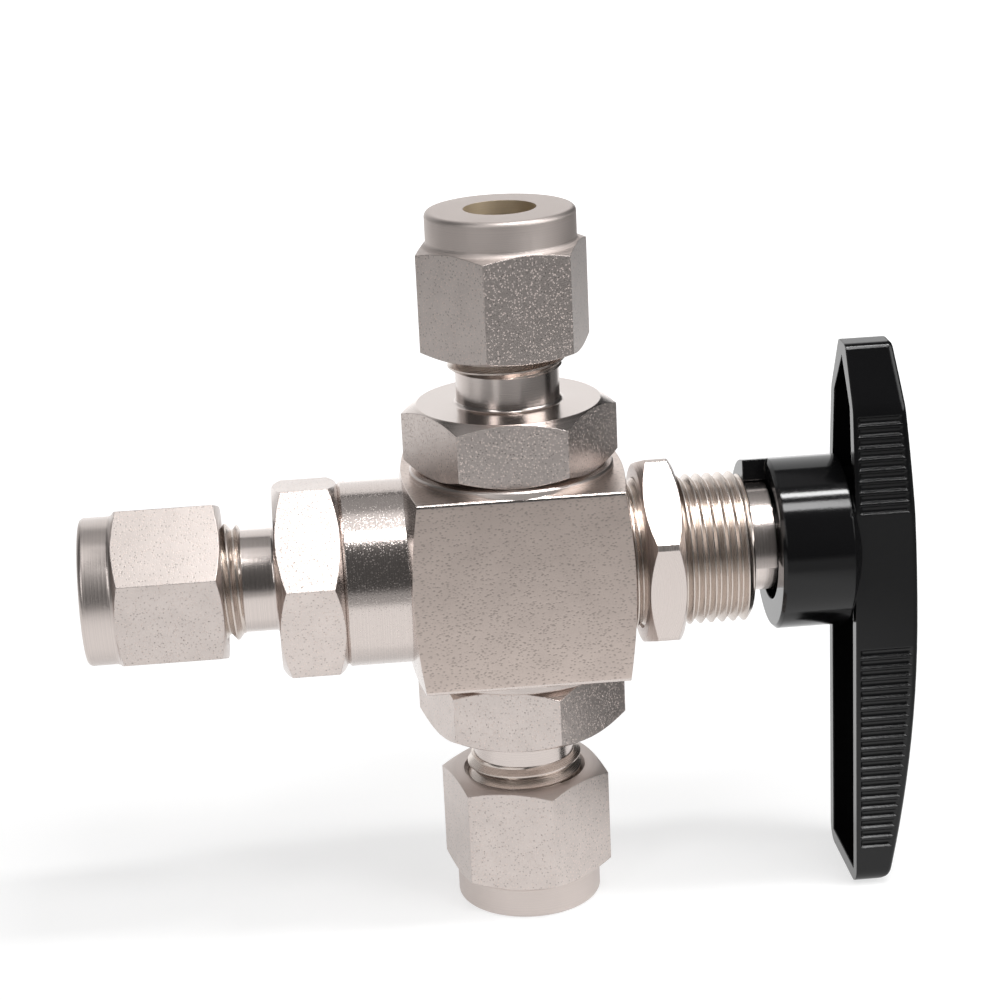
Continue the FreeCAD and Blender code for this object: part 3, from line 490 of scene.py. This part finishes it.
def turned_steel(name, centre=STEM_CENTRE, axis=X_AXIS, tint=PLAIN_TINT, roughness=None,
                 edge=TURNED_EDGE, lines=1.0, frost=0.0):
    """Bare turned steel with fine tool lines round an axis.

    Lines is their depth as a share of the usual one. Frost, if any, is the roughness of small
    dimples strewn over the steel.
    """
    finish = bpy.context.scene.valve_finish
    base = Vector(finish.steel_colour) * Vector(tint)
    if roughness is None:
        roughness = finish.turned_roughness
    material, tree, shader = new_material(name, base)
    place = use_group(tree, "axis_place", {"Centre": centre, "Axis": axis})
    lathe = use_group(tree, "lathe_lines", {"Along": place["Along"], "Out": place["Out"]})
    colour = blend_shades(tree, lathe["Streak"], base, STREAK_SHADES)
    rough = blend_values(
        tree, lathe["Streak"], *(roughness * share for share in STREAK_ROUGHNESS))
    height = maths(tree, "MULTIPLY", lathe["Height"], LINE_DEPTH * lines)
    if frost:
        grain = use_group(tree, "stock_grain", {"Grain": finish.grain_size})
        rough = blend_values(tree, grain["Dimples"], rough, frost)
        height = maths(tree, "MULTIPLY_ADD", grain["Height"], FROST_DEPTH, height)
    set_surface(tree, shader, colour, rough, height, edge, 1.0)
    shader.inputs["Metallic"].default_value = 1.0
    return material


def moulded_plastic(name, colour, roughness, edge, ripple):
    """Moulded plastic: a glossy skin with a faint ripple and softened edges, both in metres."""
    material, tree, shader = new_material(name, colour)
    point = object_point(tree)
    fine = cloud(tree, point, *PLASTIC_FINE)
    tone = blend_shades(tree, cloud(tree, point, *PLASTIC_BROAD), colour, PLASTIC_SHADES)
    rough = blend_values(tree, fine, *(roughness * share for share in PLASTIC_ROUGHNESS))
    set_surface(tree, shader, tone, rough, fine, edge, ripple)
    shader.inputs["Specular IOR Level"].default_value = PLASTIC_SPECULAR
    return material


def dress(node, material):
    """Give a CAD node's object a better material."""
    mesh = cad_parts[node].data
    for k in range(len(mesh.materials)):
        mesh.materials[k] = material


def set_materials(piece, *materials):
    """Give a piece a new list of materials."""
    piece.data.materials.clear()
    for material in materials:
        piece.data.materials.append(material)


def crease(shape, degrees):
    """Smooth every face, and sharpen the edges where faces turn by more than an angle."""
    for face in shape.faces:
        face.smooth = True
    for edge in shape.edges:
        edge.smooth = edge.calc_face_angle(math.pi) < math.radians(degrees)


def copy_of(node, name):
    """A merged copy of a CAD node's mesh as a new object, creased where its faces turn sharply."""
    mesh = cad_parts[node].data.copy()
    mesh.name = name
    shape = bmesh.new()
    shape.from_mesh(mesh)
    bmesh.ops.remove_doubles(shape, verts=shape.verts, dist=SAME_POINT)
    crease(shape, CAD_CREASE)
    shape.to_mesh(mesh)
    shape.free()
    if "custom_normal" in mesh.attributes:
        mesh.attributes.remove(mesh.attributes["custom_normal"])
    return add_object(name, mesh)


def finish_flats(piece, axis, flat, drawn, turned):
    """Give the flats that lie round a port's axis the drawn finish, and the rest the turned one."""
    set_materials(piece, drawn, turned)
    for face in piece.data.polygons:
        reach = face.normal.dot(face.center - BALL_CENTRE)
        lies_along = abs(face.normal.dot(axis)) < LEAN
        face.material_index = DRAWN if lies_along and abs(reach - flat) < FIT else TURNED


def finish_bore(piece, axis, bored):
    """Give the faces inside a port's bore a finish of their own."""
    piece.data.materials.append(bored)
    for face in piece.data.polygons:
        offset = face.center - BALL_CENTRE
        if (offset - axis * offset.dot(axis)).length < TUBE_BORE:
            face.material_index = THIRD


def shrink_to_core(piece, centre, axis, start, end, core, bore):
    """Draw in to a core radius what lies outside it between two places along an axis.

    The bore, inside a radius of its own, stays.
    """
    for vertex in piece.data.vertices:
        offset = vertex.co - centre
        along = offset.dot(axis)
        across = offset - axis * along
        if start - FIT < along < end + FIT and across.length > bore:
            vertex.co = centre + axis * along + across.normalized() * min(across.length, core)


def lay_on_axis(piece, centre, axis):
    """Move a mesh made along X from the origin to start at a centre and follow an axis."""
    turn = X_AXIS.rotation_difference(axis).to_matrix().to_4x4()
    piece.data.transform(Matrix.Translation(centre) @ turn)


def tooth_depth(tree, turn):
    """How deep the thread is at a row, from 0 on the crest to 1 in the root.

    An eighth of a turn is flat at the crest and at the root, with a straight flank on each side.
    """
    phase = maths(tree, "FRACT", maths(tree, "ADD", turn, NUDGE))
    falling = step_up(tree, phase, TOOTH_FLAT + NUDGE, TOOTH_FLAT + TOOTH_FLANK + NUDGE)
    rising = step_up(tree, maths(tree, "SUBTRACT", 1.0 + NUDGE, phase), 0.0, TOOTH_FLANK)
    return maths(tree, "MINIMUM", falling, rising)


def outer_radius(tree, given, turn, place):
    """The thread's radius at a row, run out at both ends in a steep chamfer down to the core."""
    core, start, end = given["Core Radius"], given["Start"], given["End"]
    sunk = maths(tree, "MULTIPLY", tooth_depth(tree, turn), given["Depth"])
    thread = maths(tree, "SUBTRACT", given["Outside Radius"], sunk)
    to_ends = maths(tree, "MINIMUM", maths(tree, "SUBTRACT", end, place),
                    maths(tree, "SUBTRACT", place, start))
    return maths(tree, "MINIMUM", maths(tree, "MAXIMUM", thread, core),
                 maths(tree, "MULTIPLY_ADD", to_ends, CHAMFER_SLOPE, core))


def thread_tree():
    """Geometry nodes for a threaded sleeve along X: a grid wound round the axis in helical rows."""
    tree = bpy.data.node_groups.new("thread_sleeve", "GeometryNodeTree")
    sockets = [
        ("Outside Radius", "NodeSocketFloat", 0.007), ("Core Radius", "NodeSocketFloat", 0.006),
        ("Depth", "NodeSocketFloat", 0.0005), ("Pitch", "NodeSocketFloat", 0.001),
        ("Start", "NodeSocketFloat", 0.0), ("End", "NodeSocketFloat", 0.01),
        ("Steps Around", "NodeSocketInt", 96),
    ]
    for label, kind, default in sockets:
        tree.interface.new_socket(label, in_out="INPUT", socket_type=kind).default_value = default
    tree.interface.new_socket("Material", in_out="INPUT", socket_type="NodeSocketMaterial")
    tree.interface.new_socket("Geometry", in_out="OUTPUT", socket_type="NodeSocketGeometry")
    given = tree.nodes.new("NodeGroupInput").outputs
    result = tree.nodes.new("NodeGroupOutput")
    core, pitch, start, end = (
        given["Core Radius"], given["Pitch"], given["Start"], given["End"])

    # The rows run a turn past the end, and the closing ones bring the sleeve back to its start.
    length = maths(tree, "SUBTRACT", end, start)
    turns = maths(tree, "ADD", maths(tree, "CEIL", maths(tree, "DIVIDE", length, pitch)), 1.0)
    rows = maths(tree, "MULTIPLY", turns, ROWS_IN_TURN)
    last = maths(tree, "ADD", rows, CLOSING_ROWS)
    grid = add_node(tree, "GeometryNodeMeshGrid", {
        "Size X": 1.0, "Size Y": 1.0,
        "Vertices X": maths(tree, "ADD", given["Steps Around"], 1.0),
        "Vertices Y": maths(tree, "ADD", last, 1.0)})
    flat = tree.nodes.new("GeometryNodeInputPosition")
    split = add_node(tree, "ShaderNodeSeparateXYZ", {0: flat.outputs[0]})
    around = maths(tree, "ADD", split.outputs["X"], 0.5)
    row = maths(tree, "ROUND", maths(
        tree, "MULTIPLY", maths(tree, "ADD", split.outputs["Y"], 0.5), last))

    # Place along the axis, held between the two ends.
    turn = maths(tree, "DIVIDE", maths(tree, "MINIMUM", row, rows), ROWS_IN_TURN)
    ahead = maths(tree, "MULTIPLY", maths(
        tree, "SUBTRACT", maths(tree, "ADD", turn, around), 1.0), pitch)
    free = maths(tree, "ADD", start, ahead)
    held = maths(tree, "MINIMUM", maths(tree, "MAXIMUM", free, start), end)

    # The closing rows step inside the core, run back along it and come out on the first row.
    first_in = maths(tree, "ADD", rows, 1.0)
    first_back = maths(tree, "ADD", rows, 2.0)
    inside = maths(tree, "SUBTRACT", core, CORE_SKIN)
    outer = outer_radius(tree, given, turn, held)
    radius = blend_values(tree, step_up(tree, row, rows, first_in), outer, inside)
    radius = blend_values(tree, step_up(tree, row, first_back, last), radius, core)
    along = blend_values(tree, step_up(tree, row, first_in, first_back), held, start)

    angle = maths(tree, "MULTIPLY", around, 2.0 * math.pi)
    across = maths(tree, "MULTIPLY", radius, maths(tree, "COSINE", angle))
    up = maths(tree, "MULTIPLY", radius, maths(tree, "SINE", angle))
    point = add_node(tree, "ShaderNodeCombineXYZ", {"X": along, "Y": across, "Z": up})
    wound = add_node(tree, "GeometryNodeSetPosition", {
        "Geometry": grid.outputs["Mesh"], "Position": point.outputs[0]})
    merged = add_node(tree, "GeometryNodeMergeByDistance", {
        "Geometry": wound.outputs[0], "Distance": SAME_POINT})
    realized = add_node(tree, "GeometryNodeRealizeInstances", {"Geometry": merged.outputs[0]})
    painted = add_node(tree, "GeometryNodeSetMaterial", {
        "Geometry": realized.outputs[0], "Material": given["Material"]})
    tree.links.new(painted.outputs[0], result.inputs[0])


TREE_MAKERS = {
    "axis_place": axis_place_group,
    "stock_grain": stock_grain_group,
    "lathe_lines": lathe_lines_group,
    "thread_sleeve": thread_tree,
}


def built_by_nodes(name, tree, values):
    """A new object with the plain mesh that a geometry node tree makes from named values."""
    piece = add_object(name, bpy.data.meshes.new(name + "_seed"))
    modifier = piece.modifiers.new("build", "NODES")
    modifier.node_group = tree
    for item in tree.interface.items_tree:
        if item.item_type == "SOCKET" and item.in_out == "INPUT" and item.name in values:
            modifier[item.identifier] = values[item.name]
    bpy.context.view_layer.update()
    evaluated = piece.evaluated_get(bpy.context.evaluated_depsgraph_get())
    mesh = bpy.data.meshes.new_from_object(evaluated)
    mesh.name = name
    piece.modifiers.clear()
    piece.data = mesh
    return piece


def thread_sleeve(name, outside, core, pitch, start, end, material):
    """A threaded sleeve along X, creased at the edges of its teeth, with its normals outwards."""
    thread = bpy.context.scene.valve_thread
    piece = built_by_nodes(name, node_tree("thread_sleeve"), {
        "Outside Radius": outside, "Core Radius": core, "Depth": thread.depth_share * pitch,
        "Pitch": pitch, "Start": start, "End": end, "Steps Around": thread.steps_around,
        "Material": material})
    shape = bmesh.new()
    shape.from_mesh(piece.data)
    bmesh.ops.dissolve_degenerate(shape, edges=shape.edges, dist=NO_LENGTH)
    bmesh.ops.recalc_face_normals(shape, faces=shape.faces)
    crease(shape, THREAD_CREASE)
    shape.to_mesh(piece.data)
    shape.free()
    return piece


class VALVE_OT_body(bpy.types.Operator):
    """Build the body with drawn flats, turned faces and a threaded bonnet"""
    bl_idname = "valve.body"
    bl_label = "Body"

    def execute(self, context):
        body = copy_of("body", "threaded_body")
        shrink_to_core(body, STEM_CENTRE, X_AXIS, 0.0, BONNET_END, BONNET_CORE, BONNET_BORE)
        self.finish_faces(body)
        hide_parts("body")
        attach(body, "valve_body")

        steel = turned_steel(
            "bonnet_thread_steel", tint=THREAD_TINT, roughness=THREAD_ROUGHNESS, edge=THREAD_EDGE)
        sleeve = thread_sleeve(
            "bonnet_thread", BONNET_RADIUS, BONNET_CORE, context.scene.valve_thread.bonnet_pitch,
            -CORE_SKIN, BONNET_END - FIT, steel)
        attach(sleeve, "valve_body")
        return {"FINISHED"}

    def finish_faces(self, body):
        """Drawn flats on the block's four sides, port lands turned about Z, the rest about X."""
        set_materials(
            body,
            drawn_steel("block_flats_steel", tint=BLOCK_TINT, stretch=(1.7, 1.0, 1.0),
                        tone=0.72, matt=0.37),
            turned_steel("block_turned_steel", roughness=0.15, lines=0.5, frost=0.34),
            turned_steel("port_land_steel", BALL_CENTRE, PORT_AXES["top"], roughness=0.25))
        for face in body.data.polygons:
            normal, centre = face.normal, face.center
            on_side = abs(normal.y * centre.y - BLOCK_SIDE) < FIT
            on_top = abs(normal.z * centre.z - BLOCK_TOP) < FIT
            if on_side or on_top:
                face.material_index = DRAWN
            elif abs(centre.z) > BLOCK_TOP:
                face.material_index = THIRD
            else:
                face.material_index = TURNED


class VALVE_OT_connectors(bpy.types.Operator):
    """Build the three end connectors: drawn hexagons, turned necks and tube threads"""
    bl_idname = "valve.connectors"
    bl_label = "End connectors"

    def execute(self, context):
        pitch = context.scene.valve_thread.tube_pitch
        drawn = drawn_steel("connector_flats_steel")
        for port, axis in PORT_AXES.items():
            start = PORT_FACES[port] + TUBE_THREAD_START
            end = PORT_FACES[port] + TUBE_THREAD_END
            turned = turned_steel("connector_turned_steel_" + port, BALL_CENTRE, axis)
            threaded = turned_steel(
                "tube_thread_steel_" + port, BALL_CENTRE, axis, tint=THREAD_TINT,
                roughness=THREAD_ROUGHNESS, edge=THREAD_EDGE)
            piece = copy_of("connector_" + port, "threaded_connector_" + port)
            shrink_to_core(piece, BALL_CENTRE, axis, start, end, TUBE_THREAD_CORE, TUBE_BORE)
            finish_flats(piece, axis, CONNECTOR_FLAT, drawn, turned)
            sleeve = thread_sleeve(
                "tube_thread_" + port, TUBE_THREAD_RADIUS, TUBE_THREAD_CORE, pitch,
                start, end - FIT, threaded)
            lay_on_axis(sleeve, BALL_CENTRE, axis)
            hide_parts("connector_" + port)
            for made in (piece, sleeve):
                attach(made, "valve_body")
        return {"FINISHED"}


class VALVE_OT_tube_nuts(bpy.types.Operator):
    """Build the three tube nuts, and dress the ferrules inside them"""
    bl_idname = "valve.tube_nuts"
    bl_label = "Tube nuts"

    def execute(self, context):
        drawn = drawn_steel("tube_nut_flats_steel", tint=(0.95, 0.95, 0.95))
        for port, axis in PORT_AXES.items():
            turned = turned_steel(
                "tube_nut_turned_steel_" + port, BALL_CENTRE, axis,
                roughness=NUT_ROUGHNESS[port])
            bored = turned_steel(
                "tube_nut_bore_steel_" + port, BALL_CENTRE, axis, tint=BORE_TINT, roughness=0.55)
            ferrule = turned_steel(
                "ferrule_steel_" + port, BALL_CENTRE, axis, tint=BORE_TINT, roughness=0.3)
            piece = copy_of("tube_nut_" + port, "drawn_nut_" + port)
            finish_flats(piece, axis, TUBE_NUT_FLAT, drawn, turned)
            finish_bore(piece, axis, bored)
            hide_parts("tube_nut_" + port)
            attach(piece, "nut_" + port)
            dress("front_ferrule_" + port, ferrule)
            dress("back_ferrule_" + port, ferrule)
        return {"FINISHED"}


class VALVE_OT_panel_nut(bpy.types.Operator):
    """Dress the thin panel nut on the bonnet"""
    bl_idname = "valve.panel_nut"
    bl_label = "Panel nut"

    def execute(self, context):
        dress("panel_nut", turned_steel(
            "panel_nut_steel", tint=(1.08, 1.08, 1.08), roughness=0.27, lines=0.5))
        return {"FINISHED"}


class VALVE_OT_stem_parts(bpy.types.Operator):
    """Dress the stem, packing bolt, springs, gland and ball"""
    bl_idname = "valve.stem_parts"
    bl_label = "Stem parts"

    def execute(self, context):
        polished = turned_steel("polished_stem_steel", tint=(1.1, 1.1, 1.1), roughness=0.1)
        springs = turned_steel("spring_disc_steel", tint=(0.85, 0.85, 0.85), roughness=0.28)
        for node in ("stem", "gland"):
            dress(node, polished)
        for node in ("disc_spring_lower", "disc_spring_upper"):
            dress(node, springs)
        dress("packing_bolt", turned_steel(
            "packing_bolt_steel", tint=(1.05, 1.05, 1.05), roughness=0.18))
        dress("ball", turned_steel(
            "polished_ball_steel", BALL_CENTRE, PORT_AXES["top"], tint=(1.15, 1.15, 1.15),
            roughness=0.06))
        return {"FINISHED"}


class VALVE_OT_seals(bpy.types.Operator):
    """Dress the seats, seals, washer and packing rings"""
    bl_idname = "valve.seals"
    bl_label = "Seals"

    def execute(self, context):
        plastic = moulded_plastic(
            "pale_seal_plastic", context.scene.valve_finish.seal_colour,
            roughness=0.45, edge=0.0001, ripple=0.000002)
        for port in PORT_AXES:
            dress("ball_seat_" + port, plastic)
            dress("connector_seal_" + port, plastic)
        for node in ("stem_washer", "packing_ring_lower", "packing_ring_upper"):
            dress(node, plastic)
        return {"FINISHED"}


class VALVE_OT_handle(bpy.types.Operator):
    """Dress the black handle and its set screw"""
    bl_idname = "valve.handle"
    bl_label = "Handle"

    def execute(self, context):
        dress("handle", moulded_plastic(
            "black_handle_plastic", context.scene.valve_finish.handle_colour,
            roughness=0.1, edge=0.0002, ripple=0.0000015))
        dress("handle_set_screw", turned_steel(
            "set_screw_steel", tint=(0.5, 0.53, 0.56), roughness=0.3))
        return {"FINISHED"}


class VALVE_OT_stage(bpy.types.Operator):
    """Build the paper sweep, the softboxes, the room and the camera"""
    bl_idname = "valve.stage"
    bl_label = "Stage"

    def execute(self, context):
        stage = context.scene.valve_stage
        self.build_paper(stage)
        self.build_lamps(stage)
        self.build_room(context, stage)
        self.place_camera(context, stage)
        context.scene.view_settings.view_transform = "Standard"
        return {"FINISHED"}

    def build_paper(self, stage):
        """A floor under the valve that bends up behind it."""
        floor = CAD_BOX[0][2]
        profile = [(SWEEP_FRONT, floor), (SWEEP_BEND, floor)]
        for k in range(1, BEND_FACES + 1):
            turn = math.radians(90.0 * k / BEND_FACES)
            profile.append((SWEEP_BEND + SWEEP_RADIUS * math.sin(turn),
                            floor + SWEEP_RADIUS * (1 - math.cos(turn))))
        profile.append((SWEEP_BEND + SWEEP_RADIUS, floor + SWEEP_HEIGHT))
        shape = bmesh.new()
        left, right = (
            [shape.verts.new((x, y, z)) for y, z in profile] for x in (-SWEEP_HALF, SWEEP_HALF))
        for k in range(len(profile) - 1):
            shape.faces.new((left[k], right[k], right[k + 1], left[k + 1])).smooth = True
        mesh = bpy.data.meshes.new("paper_sweep")
        shape.to_mesh(mesh)
        shape.free()
        paper = add_object("paper_sweep", mesh)
        mesh.materials.append(self.paper_material(stage))

    def paper_material(self, stage):
        """Glowing white paper under and behind the valve, with a grey table round it.

        The table shows only in the valve's steel, because a camera sees white paper all round.
        """
        material, tree, shader = new_material("white_paper", stage.paper_colour)
        point = object_point(tree)
        place = add_node(tree, "ShaderNodeSeparateXYZ", {0: point}).outputs
        seen = tree.nodes.new("ShaderNodeLightPath").outputs
        aside = self.slanted(tree, place, RIGHT_SLANT)
        on_paper = product(
            tree, step_up(tree, place["Y"], *PAPER_FRONT),
            step_up(tree, self.slanted(tree, place, LEFT_SLANT), *PAPER_LEFT),
            step_up(tree, aside, *PAPER_RIGHT))

        white = maths(tree, "MAXIMUM", on_paper, seen["Is Camera Ray"])
        colour = blend_colours(
            tree, white, self.table_colour(tree, stage, place), shade(stage.paper_colour))
        tree.links.new(colour, shader.inputs["Base Color"])
        shader.inputs["Roughness"].default_value = PAPER_ROUGHNESS
        shader.inputs["Specular IOR Level"].default_value = 0.0

        # A camera sees white paper on every side, with the valve's shadow near its foot.
        level = self.glow_level(tree, place, aside, on_paper)
        away = step_up(tree, vector_maths(tree, "LENGTH", point).outputs["Value"], *WHITE_REACH)
        plain = maths(tree, "MAXIMUM", level, blend_values(tree, away, PAPER_GLOW, 1.0))
        level = blend_values(tree, seen["Is Camera Ray"], level, plain)
        rays = seen["Is Camera Ray"]
        for kind in ("Is Glossy Ray", "Is Transmission Ray"):
            rays = maths(tree, "MAXIMUM", rays, seen[kind])
        glow = add_node(tree, "ShaderNodeEmission", {
            "Color": WHITE, "Strength": maths(tree, "MULTIPLY", rays, level)})
        both = add_node(tree, "ShaderNodeAddShader", {0: shader.outputs[0], 1: glow.outputs[0]})
        output = next(node for node in tree.nodes if node.type == "OUTPUT_MATERIAL")
        tree.links.new(both.outputs[0], output.inputs["Surface"])
        return material

    def slanted(self, tree, place, slant):
        """How far to the right a point lies of a line that slants with the depth."""
        return maths(tree, "MULTIPLY_ADD", place["Y"], slant, place["X"])

    def table_colour(self, tree, stage, place):
        """The table's grey with painted light and shade: darker away from the valve and to the
        right.

        A painted strip of light lies across it to the left of the camera.
        """
        # Painted light: the table is lighter near the valve and brighter still in the strip.
        near = product(tree, step_up(tree, place["Y"], *TABLE_DEPTH),
                       step_up(tree, place["X"], *TABLE_RIGHT))
        off_strip = maths(tree, "ABSOLUTE", self.slanted(tree, place, STRIP_SLANT))
        painted_strip = product(tree, step_up(tree, off_strip, *STRIP_EDGE), near)
        painted_lit = blend_shades(tree, painted_strip, stage.table_colour, TABLE_PAINTED_LIGHT)
        return blend_colours(tree, near, shade(stage.table_colour, TABLE_PAINTED_SHADE), painted_lit)

    def glow_level(self, tree, place, aside, on_paper):
        """How brightly the paper glows: less to the right of the picture, and less high up."""
        behind = step_up(tree, place["Y"], *GLOW_DEPTH)
        level = maths(tree, "ADD", product(tree, on_paper, PAPER_GLOW),
                      product(tree, behind, SWEEP_GLOW))
        high = step_up(tree, place["Z"], *GLOW_HEIGHT)
        return product(tree, level, step_up(tree, aside, *GLOW_RIGHT),
                       blend_values(tree, high, 1.0, HIGH_SHARE))

    def build_lamps(self, stage):
        """Panels overhead, and softboxes before the valve and on each side of the camera."""
        for name, place, width, height, radiance in LAMPS:
            lamp = bpy.data.lights.new(name, "AREA")
            lamp.shape = "RECTANGLE"
            lamp.size, lamp.size_y = width, height
            lamp.energy = radiance * stage.lamp_level * math.pi * width * height
            holder = add_object(name, lamp)
            holder.location = place
            if not name.startswith("overhead"):
                holder.rotation_euler = Vector(place).to_track_quat("Z", "Y").to_euler()
            holder.visible_camera = False

    def build_room(self, context, stage):
        """A dim, even room round the stage, which a camera sees as white."""
        world = bpy.data.worlds.new("studio_room")
        context.scene.world = world
        world.use_nodes = True
        tree = world.node_tree
        tree.nodes.clear()
        seen = tree.nodes.new("ShaderNodeLightPath").outputs["Is Camera Ray"]
        room = add_node(tree, "ShaderNodeBackground", {
            "Color": WHITE, "Strength": blend_values(tree, seen, stage.room_level, 1.0)})
        output = tree.nodes.new("ShaderNodeOutputWorld")
        tree.links.new(room.outputs[0], output.inputs["Surface"])

    def place_camera(self, context, stage):
        """The camera at the photograph's viewpoint, worked out from the valve's edges."""
        yaw, pitch, roll = stage.camera_yaw, stage.camera_pitch, stage.camera_roll
        forward = Vector((
            math.sin(yaw) * math.cos(pitch), math.cos(yaw) * math.cos(pitch), math.sin(pitch)))
        level = forward.cross(Vector((0.0, 0.0, 1.0))).normalized()
        upright = level.cross(forward)
        right = level * math.cos(roll) + upright * math.sin(roll)
        up = upright * math.cos(roll) - level * math.sin(roll)
        turned = Matrix((right, up, -forward)).transposed().to_4x4()
        lens = bpy.data.cameras.new("valve_camera")
        lens.sensor_width = SENSOR_WIDTH
        lens.lens = stage.focal_length
        lens.clip_start = CLIP_START
        camera = add_object("valve_camera", lens)
        camera.matrix_world = Matrix.Translation(Vector(stage.camera_place)) @ turned
        context.scene.camera = camera


class VALVE_PT_panel(bpy.types.Panel):
    """Valve pieces and their settings"""
    bl_idname = "VALVE_PT_panel"
    bl_label = "Three-way ball valve"
    bl_space_type = "VIEW_3D"
    bl_region_type = "UI"
    bl_category = "Valve"

    def draw(self, context):
        layout = self.layout
        for operator in PIECES:
            layout.operator(operator.bl_idname)
        for settings in ("valve_finish", "valve_thread", "valve_stage"):
            box = layout.box()
            owner = getattr(context.scene, settings)
            for name in owner.__annotations__:
                box.prop(owner, name)


SETTINGS = {
    "valve_finish": ValveFinishSettings,
    "valve_thread": ValveThreadSettings,
    "valve_stage": ValveStageSettings,
}
PIECES = (
    VALVE_OT_body, VALVE_OT_connectors, VALVE_OT_tube_nuts, VALVE_OT_panel_nut,
    VALVE_OT_stem_parts, VALVE_OT_seals, VALVE_OT_handle, VALVE_OT_stage,
)


def register():
    for name, settings in SETTINGS.items():
        bpy.utils.register_class(settings)
        setattr(bpy.types.Scene, name, PointerProperty(type=settings))
    for operator in PIECES:
        bpy.utils.register_class(operator)
    bpy.utils.register_class(VALVE_PT_panel)


def unregister():
    bpy.utils.unregister_class(VALVE_PT_panel)
    for operator in reversed(PIECES):
        bpy.utils.unregister_class(operator)
    for name, settings in SETTINGS.items():
        delattr(bpy.types.Scene, name)
        bpy.utils.unregister_class(settings)


def main():
    register()
    bpy.ops.valve.body()
    bpy.ops.valve.connectors()
    bpy.ops.valve.tube_nuts()
    bpy.ops.valve.panel_nut()
    bpy.ops.valve.stem_parts()
    bpy.ops.valve.seals()
    bpy.ops.valve.handle()
    bpy.ops.valve.stage()


if __name__ == "__main__":
    main()
